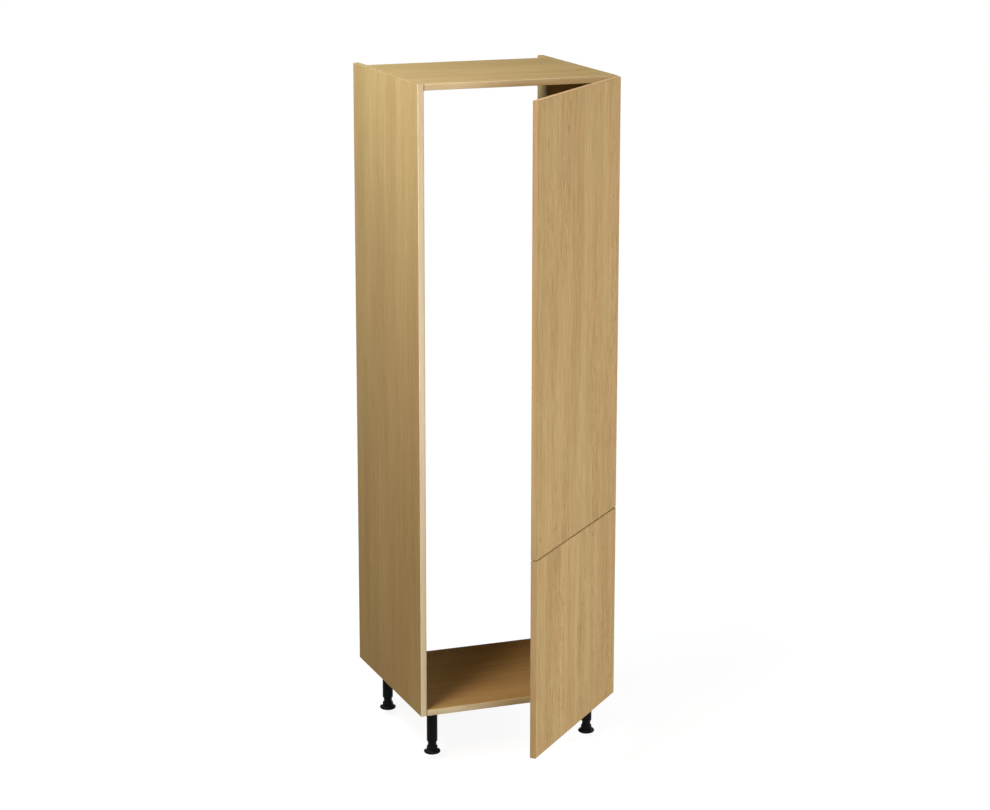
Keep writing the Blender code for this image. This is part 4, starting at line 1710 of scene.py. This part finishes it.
@dataclass
class ConcealedHinge(SubAssembly):
    """One concealed hinge: its five pieces from the model, with eased edges, and its six screws.

    Lengths are in metres. A face is an X in the unit's frame, and a setback is a distance behind
    the carcase's front. Each kind of screw has the turn of its first drive and how much further
    the second is turned, in degrees.
    """

    label: str
    door: Door
    nickel: bpy.types.Material
    screw_steel: bpy.types.Material
    heads: dict[ScrewKind, bpy.types.Mesh]
    flat_angle: float = 0.5
    easing: float = 0.00012
    easing_angle: float = 34.0
    easing_segments: int = 2
    crease: float = 46.0
    plate_face: float = 0.27970
    plate_setback: float = 0.0370
    plate_spacing: float = 0.0320
    web_face: float = 0.25660
    web_setbacks: Pair = (0.0570, 0.0690)
    wing_spacing: float = 0.0480
    wing_offset: float = 0.0060
    cup_inset: float = 0.0225
    flange_top: float = 0.0011
    drive_turns: ClassVar[dict[ScrewKind, Pair]] = {
        ScrewKind.PLATE: (24.0, 31.0),
        ScrewKind.ARM: (12.0, 40.0),
        ScrewKind.CUP: (8.0, 52.0),
    }

    def build(self) -> None:
        """Builds the hinge's pieces and screws."""
        prefix = self.door.leaf.value
        bodies = {
            "plate": "carcase",
            "arm": "carcase",
            "inner_link": f"{prefix}_inner_links",
            "outer_link": f"{prefix}_outer_links",
            "cup": self.door.body,
        }
        for part, body in bodies.items():
            self.eased_copy(f"hinge_{part}_{self.label}", body)
        self.put_screws()

    def eased_copy(self, node: str, body: str) -> None:
        """A CAD solid of the hinge with its stamped edges eased.

        Args:
            node: The CAD node.
            body: Its body.
        """
        bm = solid_copy(node, Matrix.Identity(4))
        flat, sharp = math.radians(self.flat_angle), math.radians(self.easing_angle)
        bmesh.ops.dissolve_limit(bm, angle_limit=flat, verts=bm.verts, edges=bm.edges)
        edges = [
            edge
            for edge in bm.edges
            if len(edge.link_faces) == 2 and edge.calc_face_angle() > sharp
        ]
        round_edges(bm, edges, self.easing, self.easing_segments)
        piece = finished_object(f"{node}_eased", bm, self.crease)
        self.keep(piece, body, Slot.NICKEL_STEEL, self.nickel, node)

    def put_screws(self) -> None:
        """Puts two screws each in the plate, the arm and the cup, about the hinge's middle."""
        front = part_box("side_panel_right")[0].y
        low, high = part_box(f"hinge_arm_{self.label}")
        middle = (low.z + high.z) / 2
        leaf = OwnFrame.of(self.door.name, self.door.axes())
        on_leaf = middle - leaf.matrix.translation.z
        wing_x = leaf.size.x - self.cup_inset - self.wing_offset
        wing_y = leaf.size.y + self.flange_top
        places = {
            ScrewKind.PLATE: [
                (self.plate_face, front + self.plate_setback, middle + way * self.plate_spacing / 2)
                for way in (-1, 1)
            ],
            ScrewKind.ARM: [
                (self.web_face, front + setback, middle) for setback in self.web_setbacks
            ],
            ScrewKind.CUP: [
                (wing_x, wing_y, on_leaf + way * self.wing_spacing / 2) for way in (-1, 1)
            ],
        }
        for kind, spots in places.items():
            board, outward, body = Matrix.Identity(4), "Y", "carcase"
            if kind is ScrewKind.CUP:
                board, outward, body = leaf.matrix, "X", self.door.body
            out = Matrix.Rotation(-QUARTER_TURN, 4, outward)
            first, further = self.drive_turns[kind]
            for index, spot in enumerate(spots):
                turn = Matrix.Rotation(math.radians(first + further * index), 4, "Z")
                name = f"{kind.value}_screw_{self.label}_{index + 1}"
                screw = linked_object(name, self.heads[kind])
                screw.matrix_world = board @ Matrix.Translation(spot) @ out @ turn
                self.keep(screw, body, Slot.NICKEL_STEEL, self.screw_steel)


@dataclass
class Hinges(SubAssembly):
    """All five concealed hinges, which share their screws' heads."""

    doors: Sequence[Door]
    head_shapes: ClassVar[dict[ScrewKind, ScrewHead]] = {
        ScrewKind.PLATE: ScrewHead(radius=0.0040, height=0.0019, crown=0.0013),
        ScrewKind.ARM: ScrewHead(
            radius=0.0032, height=0.0017, crown=0.0006, recess_length=0.0036
        ),
        ScrewKind.CUP: ScrewHead(
            radius=0.0036, height=0.0014, crown=0.0009, recess_length=0.0034, recess_depth=0.0010
        ),
    }

    def build(self) -> None:
        """Builds the hinges of both doors."""
        nickel = HINGE_NICKEL.material("hinge_nickel")
        steel = HINGE_NICKEL.material("screw_nickel")
        heads = {kind: shape.mesh() for kind, shape in self.head_shapes.items()}
        for door in self.doors:
            for number in range(1, door.hinge_count + 1):
                label = f"{door.leaf.value}_{number}"
                ConcealedHinge(f"hinge_{label}", label, door, nickel, steel, heads).build()


# Studio


@dataclass(frozen=True, kw_only=True)
class Lamp:
    """A soft lamp, square unless it has a height of its own. Its power is in watts."""

    name: str
    place: Triple
    target: Triple
    size: float
    height: Optional[float] = None
    power: float
    colour: Colour = WHITE

    def light(self) -> None:
        """Puts the lamp in the scene, facing its target."""
        data = bpy.data.lights.new(self.name, "AREA")
        data.shape = "SQUARE" if self.height is None else "RECTANGLE"
        data.size = self.size
        if self.height is not None:
            data.size_y = self.height
        data.energy = self.power
        data.color = self.colour
        lamp = linked_object(self.name, data)
        lamp.location = self.place
        ahead = Vector(self.target) - Vector(self.place)
        lamp.rotation_euler = ahead.to_track_quat("-Z", "Y").to_euler()
        LOG.info("studio: %s", self.name)


@dataclass(frozen=True, kw_only=True)
class ViewPoint:
    """The camera's place and direction. Yaw turns from +Y towards +X, and pitch looks down.

    The angles are in radians. The focal length is in pixels, for a picture IMAGE_WIDTH wide.
    """

    name: str
    place: Triple
    yaw: float
    pitch: float
    roll: float
    focal_pixels: float
    sensor: float = 36.0
    reach: float = 60.0

    def camera(self) -> None:
        """Puts the camera in the scene and makes it the scene's own."""
        forward, down = math.cos(self.pitch), math.sin(self.pitch)
        ahead = Vector((math.sin(self.yaw) * forward, math.cos(self.yaw) * forward, -down))
        level = Vector((math.cos(self.yaw), -math.sin(self.yaw), 0.0))
        above = level.cross(ahead)
        right = level * math.cos(self.roll) + above * math.sin(self.roll)
        up = above * math.cos(self.roll) - level * math.sin(self.roll)
        data = bpy.data.cameras.new(self.name)
        data.sensor_fit = "HORIZONTAL"
        data.sensor_width = self.sensor
        data.lens = self.focal_pixels * self.sensor / IMAGE_WIDTH
        data.clip_end = self.reach
        camera = linked_object(self.name, data)
        camera.matrix_world = Matrix.Translation(self.place) @ axes_matrix(right, up, -ahead)
        bpy.context.scene.camera = camera


@dataclass
class Studio:
    """The floor, lamps, background and camera.

    The floor lies as low as a foot reaches when it is screwed right down. Its shade and the
    shadow on it fade to plain white between the two fade distances, in metres.
    """

    view: ViewPoint
    lamps: Sequence[Lamp]
    ambient: float = 0.004
    floor_level: float = -0.0203
    floor_reach: float = 9.0
    floor_sides: int = 96
    floor_shade: float = 0.18
    floor_light: float = 0.55
    fade: Pair = (1.1, 2.8)

    def build(self) -> None:
        """Builds the whole studio."""
        self.floor()
        for lamp in self.lamps:
            lamp.light()
        self.background()
        self.view.camera()
        bpy.context.scene.view_settings.view_transform = "Standard"

    def floor(self) -> None:
        """A pale disc that shows white, apart from the unit's soft shadow near it."""
        bm = bmesh.new()
        bmesh.ops.create_circle(
            bm, cap_ends=True, radius=self.floor_reach, segments=self.floor_sides
        )
        stand = Matrix.Translation((0.0, 0.0, self.floor_level))
        disc = finished_object("studio_floor", bm, stand=stand)
        material = bpy.data.materials.new("studio_floor")
        graph = empty_graph(material)
        feeds = {0: graph.object_place()}
        away = graph.node("ShaderNodeVectorMath", feeds, operation="LENGTH").outputs["Value"]
        near = graph.math("SUBTRACT", 1.0, graph.ramp(away, self.fade))
        shade = graph.math("MULTIPLY", near, self.floor_shade)
        tone = graph.node("ShaderNodeCombineColor", {"Red": shade, "Green": shade, "Blue": shade})
        matt = graph.node("ShaderNodeBsdfDiffuse", {"Color": tone.outputs[0]})
        unlit = graph.math("MULTIPLY_ADD", shade, -self.floor_light, 1.0)
        glow = graph.math("MULTIPLY", self.seen(graph), unlit)
        white = graph.node("ShaderNodeEmission", {"Color": WHITE, "Strength": glow})
        both = graph.node("ShaderNodeAddShader", {0: matt.outputs[0], 1: white.outputs[0]})
        graph.node("ShaderNodeOutputMaterial", {"Surface": both.outputs[0]})
        disc.data.materials.append(material)

    def seen(self, graph: Graph) -> Socket:
        """1 for rays that show the background: straight from the camera, mirrored or through.

        Args:
            graph: The graph that it is added to.

        Returns:
            The value.
        """
        path = graph.node("ShaderNodeLightPath", {}).outputs
        shown = graph.math("MAXIMUM", path["Is Camera Ray"], path["Is Glossy Ray"])
        return graph.math("MAXIMUM", shown, path["Is Transmission Ray"])

    def background(self) -> None:
        """White where it is seen, and a weak even light elsewhere."""
        world = bpy.data.worlds.new("studio")
        bpy.context.scene.world = world
        graph = empty_graph(world)
        seen = self.seen(graph)
        strength = graph.math("MULTIPLY_ADD", seen, 1.0 - self.ambient, self.ambient)
        sky = graph.node("ShaderNodeBackground", {"Color": WHITE, "Strength": strength})
        graph.node("ShaderNodeOutputWorld", {"Surface": sky.outputs[0]})


PHOTO_VIEW = ViewPoint(
    name="photo_view",
    place=(-2.745415, -7.038543, 2.854736),
    yaw=0.366091,
    pitch=0.237364,
    roll=0.001214,
    focal_pixels=2699.166,
)
LAMPS = (
    Lamp(
        name="front_low_softbox",
        place=(-0.4, -5.0, 1.2),
        target=(0.0, 0.0, 1.0),
        size=2.0,
        power=158.0,
        colour=(0.96, 1.00, 1.04),
    ),
    Lamp(
        name="left_front_softbox",
        place=(-3.0, -2.4, 3.2),
        target=(-0.3, 0.0, 1.2),
        size=1.4,
        power=76.0,
        colour=(1.33, 0.95, 0.70),
    ),
    Lamp(
        name="near_left_softbox",
        place=(-1.6, 0.2, 3.1),
        target=(-0.3, 0.2, 1.7),
        size=0.8,
        power=49.0,
        colour=(0.78, 0.99, 1.24),
    ),
    Lamp(
        name="high_left_softbox",
        place=(-2.5, -1.4, 6.0),
        target=(-0.2, -0.1, 0.6),
        size=1.4,
        power=152.0,
        colour=(1.05, 1.01, 0.90),
    ),
    Lamp(
        name="right_low_softbox",
        place=(3.0, -4.0, 0.9),
        target=(0.1, -0.3, 0.9),
        size=1.6,
        power=64.0,
        colour=(0.90, 0.99, 1.11),
    ),
    Lamp(
        name="right_fill",
        place=(4.2, 0.2, 2.4),
        target=(0.3, 0.2, 1.0),
        size=2.0,
        power=84.0,
    ),
    Lamp(
        name="rear_strip",
        place=(0.85, 4.2, 0.085),
        target=(0.3, 0.4, 0.6),
        size=1.1,
        height=0.13,
        power=110.0,
    ),
)


def clear_startup_objects() -> None:
    """Removes what Blender's own startup scene holds."""
    ours = set(frame["nodes"].values()) | set(frame["bodies"].values())
    for thing in list(bpy.data.objects):
        if thing not in ours:
            bpy.data.objects.remove(thing)


def main() -> None:
    """Dresses the unit and lights it."""
    logging.basicConfig(level=logging.INFO, format="%(message)s")
    clear_startup_objects()
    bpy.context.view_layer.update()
    Carcase("carcase").build()
    doors = (
        Door("upper_door", Leaf.UPPER, seed=5.0, hinge_count=3),
        Door("lower_door", Leaf.LOWER, seed=6.0, hinge_count=2),
    )
    for door in doors:
        door.build()
    CamFitting("cams").build()
    plastic = LEG_PLASTIC.material("leg_plastic")
    for corner in Corner:
        AdjustableLeg(f"leg_{corner.value}", corner, plastic).build()
    Hinges("hinges", doors).build()
    Studio(PHOTO_VIEW, LAMPS).build()


if __name__ == "__main__":
    main()
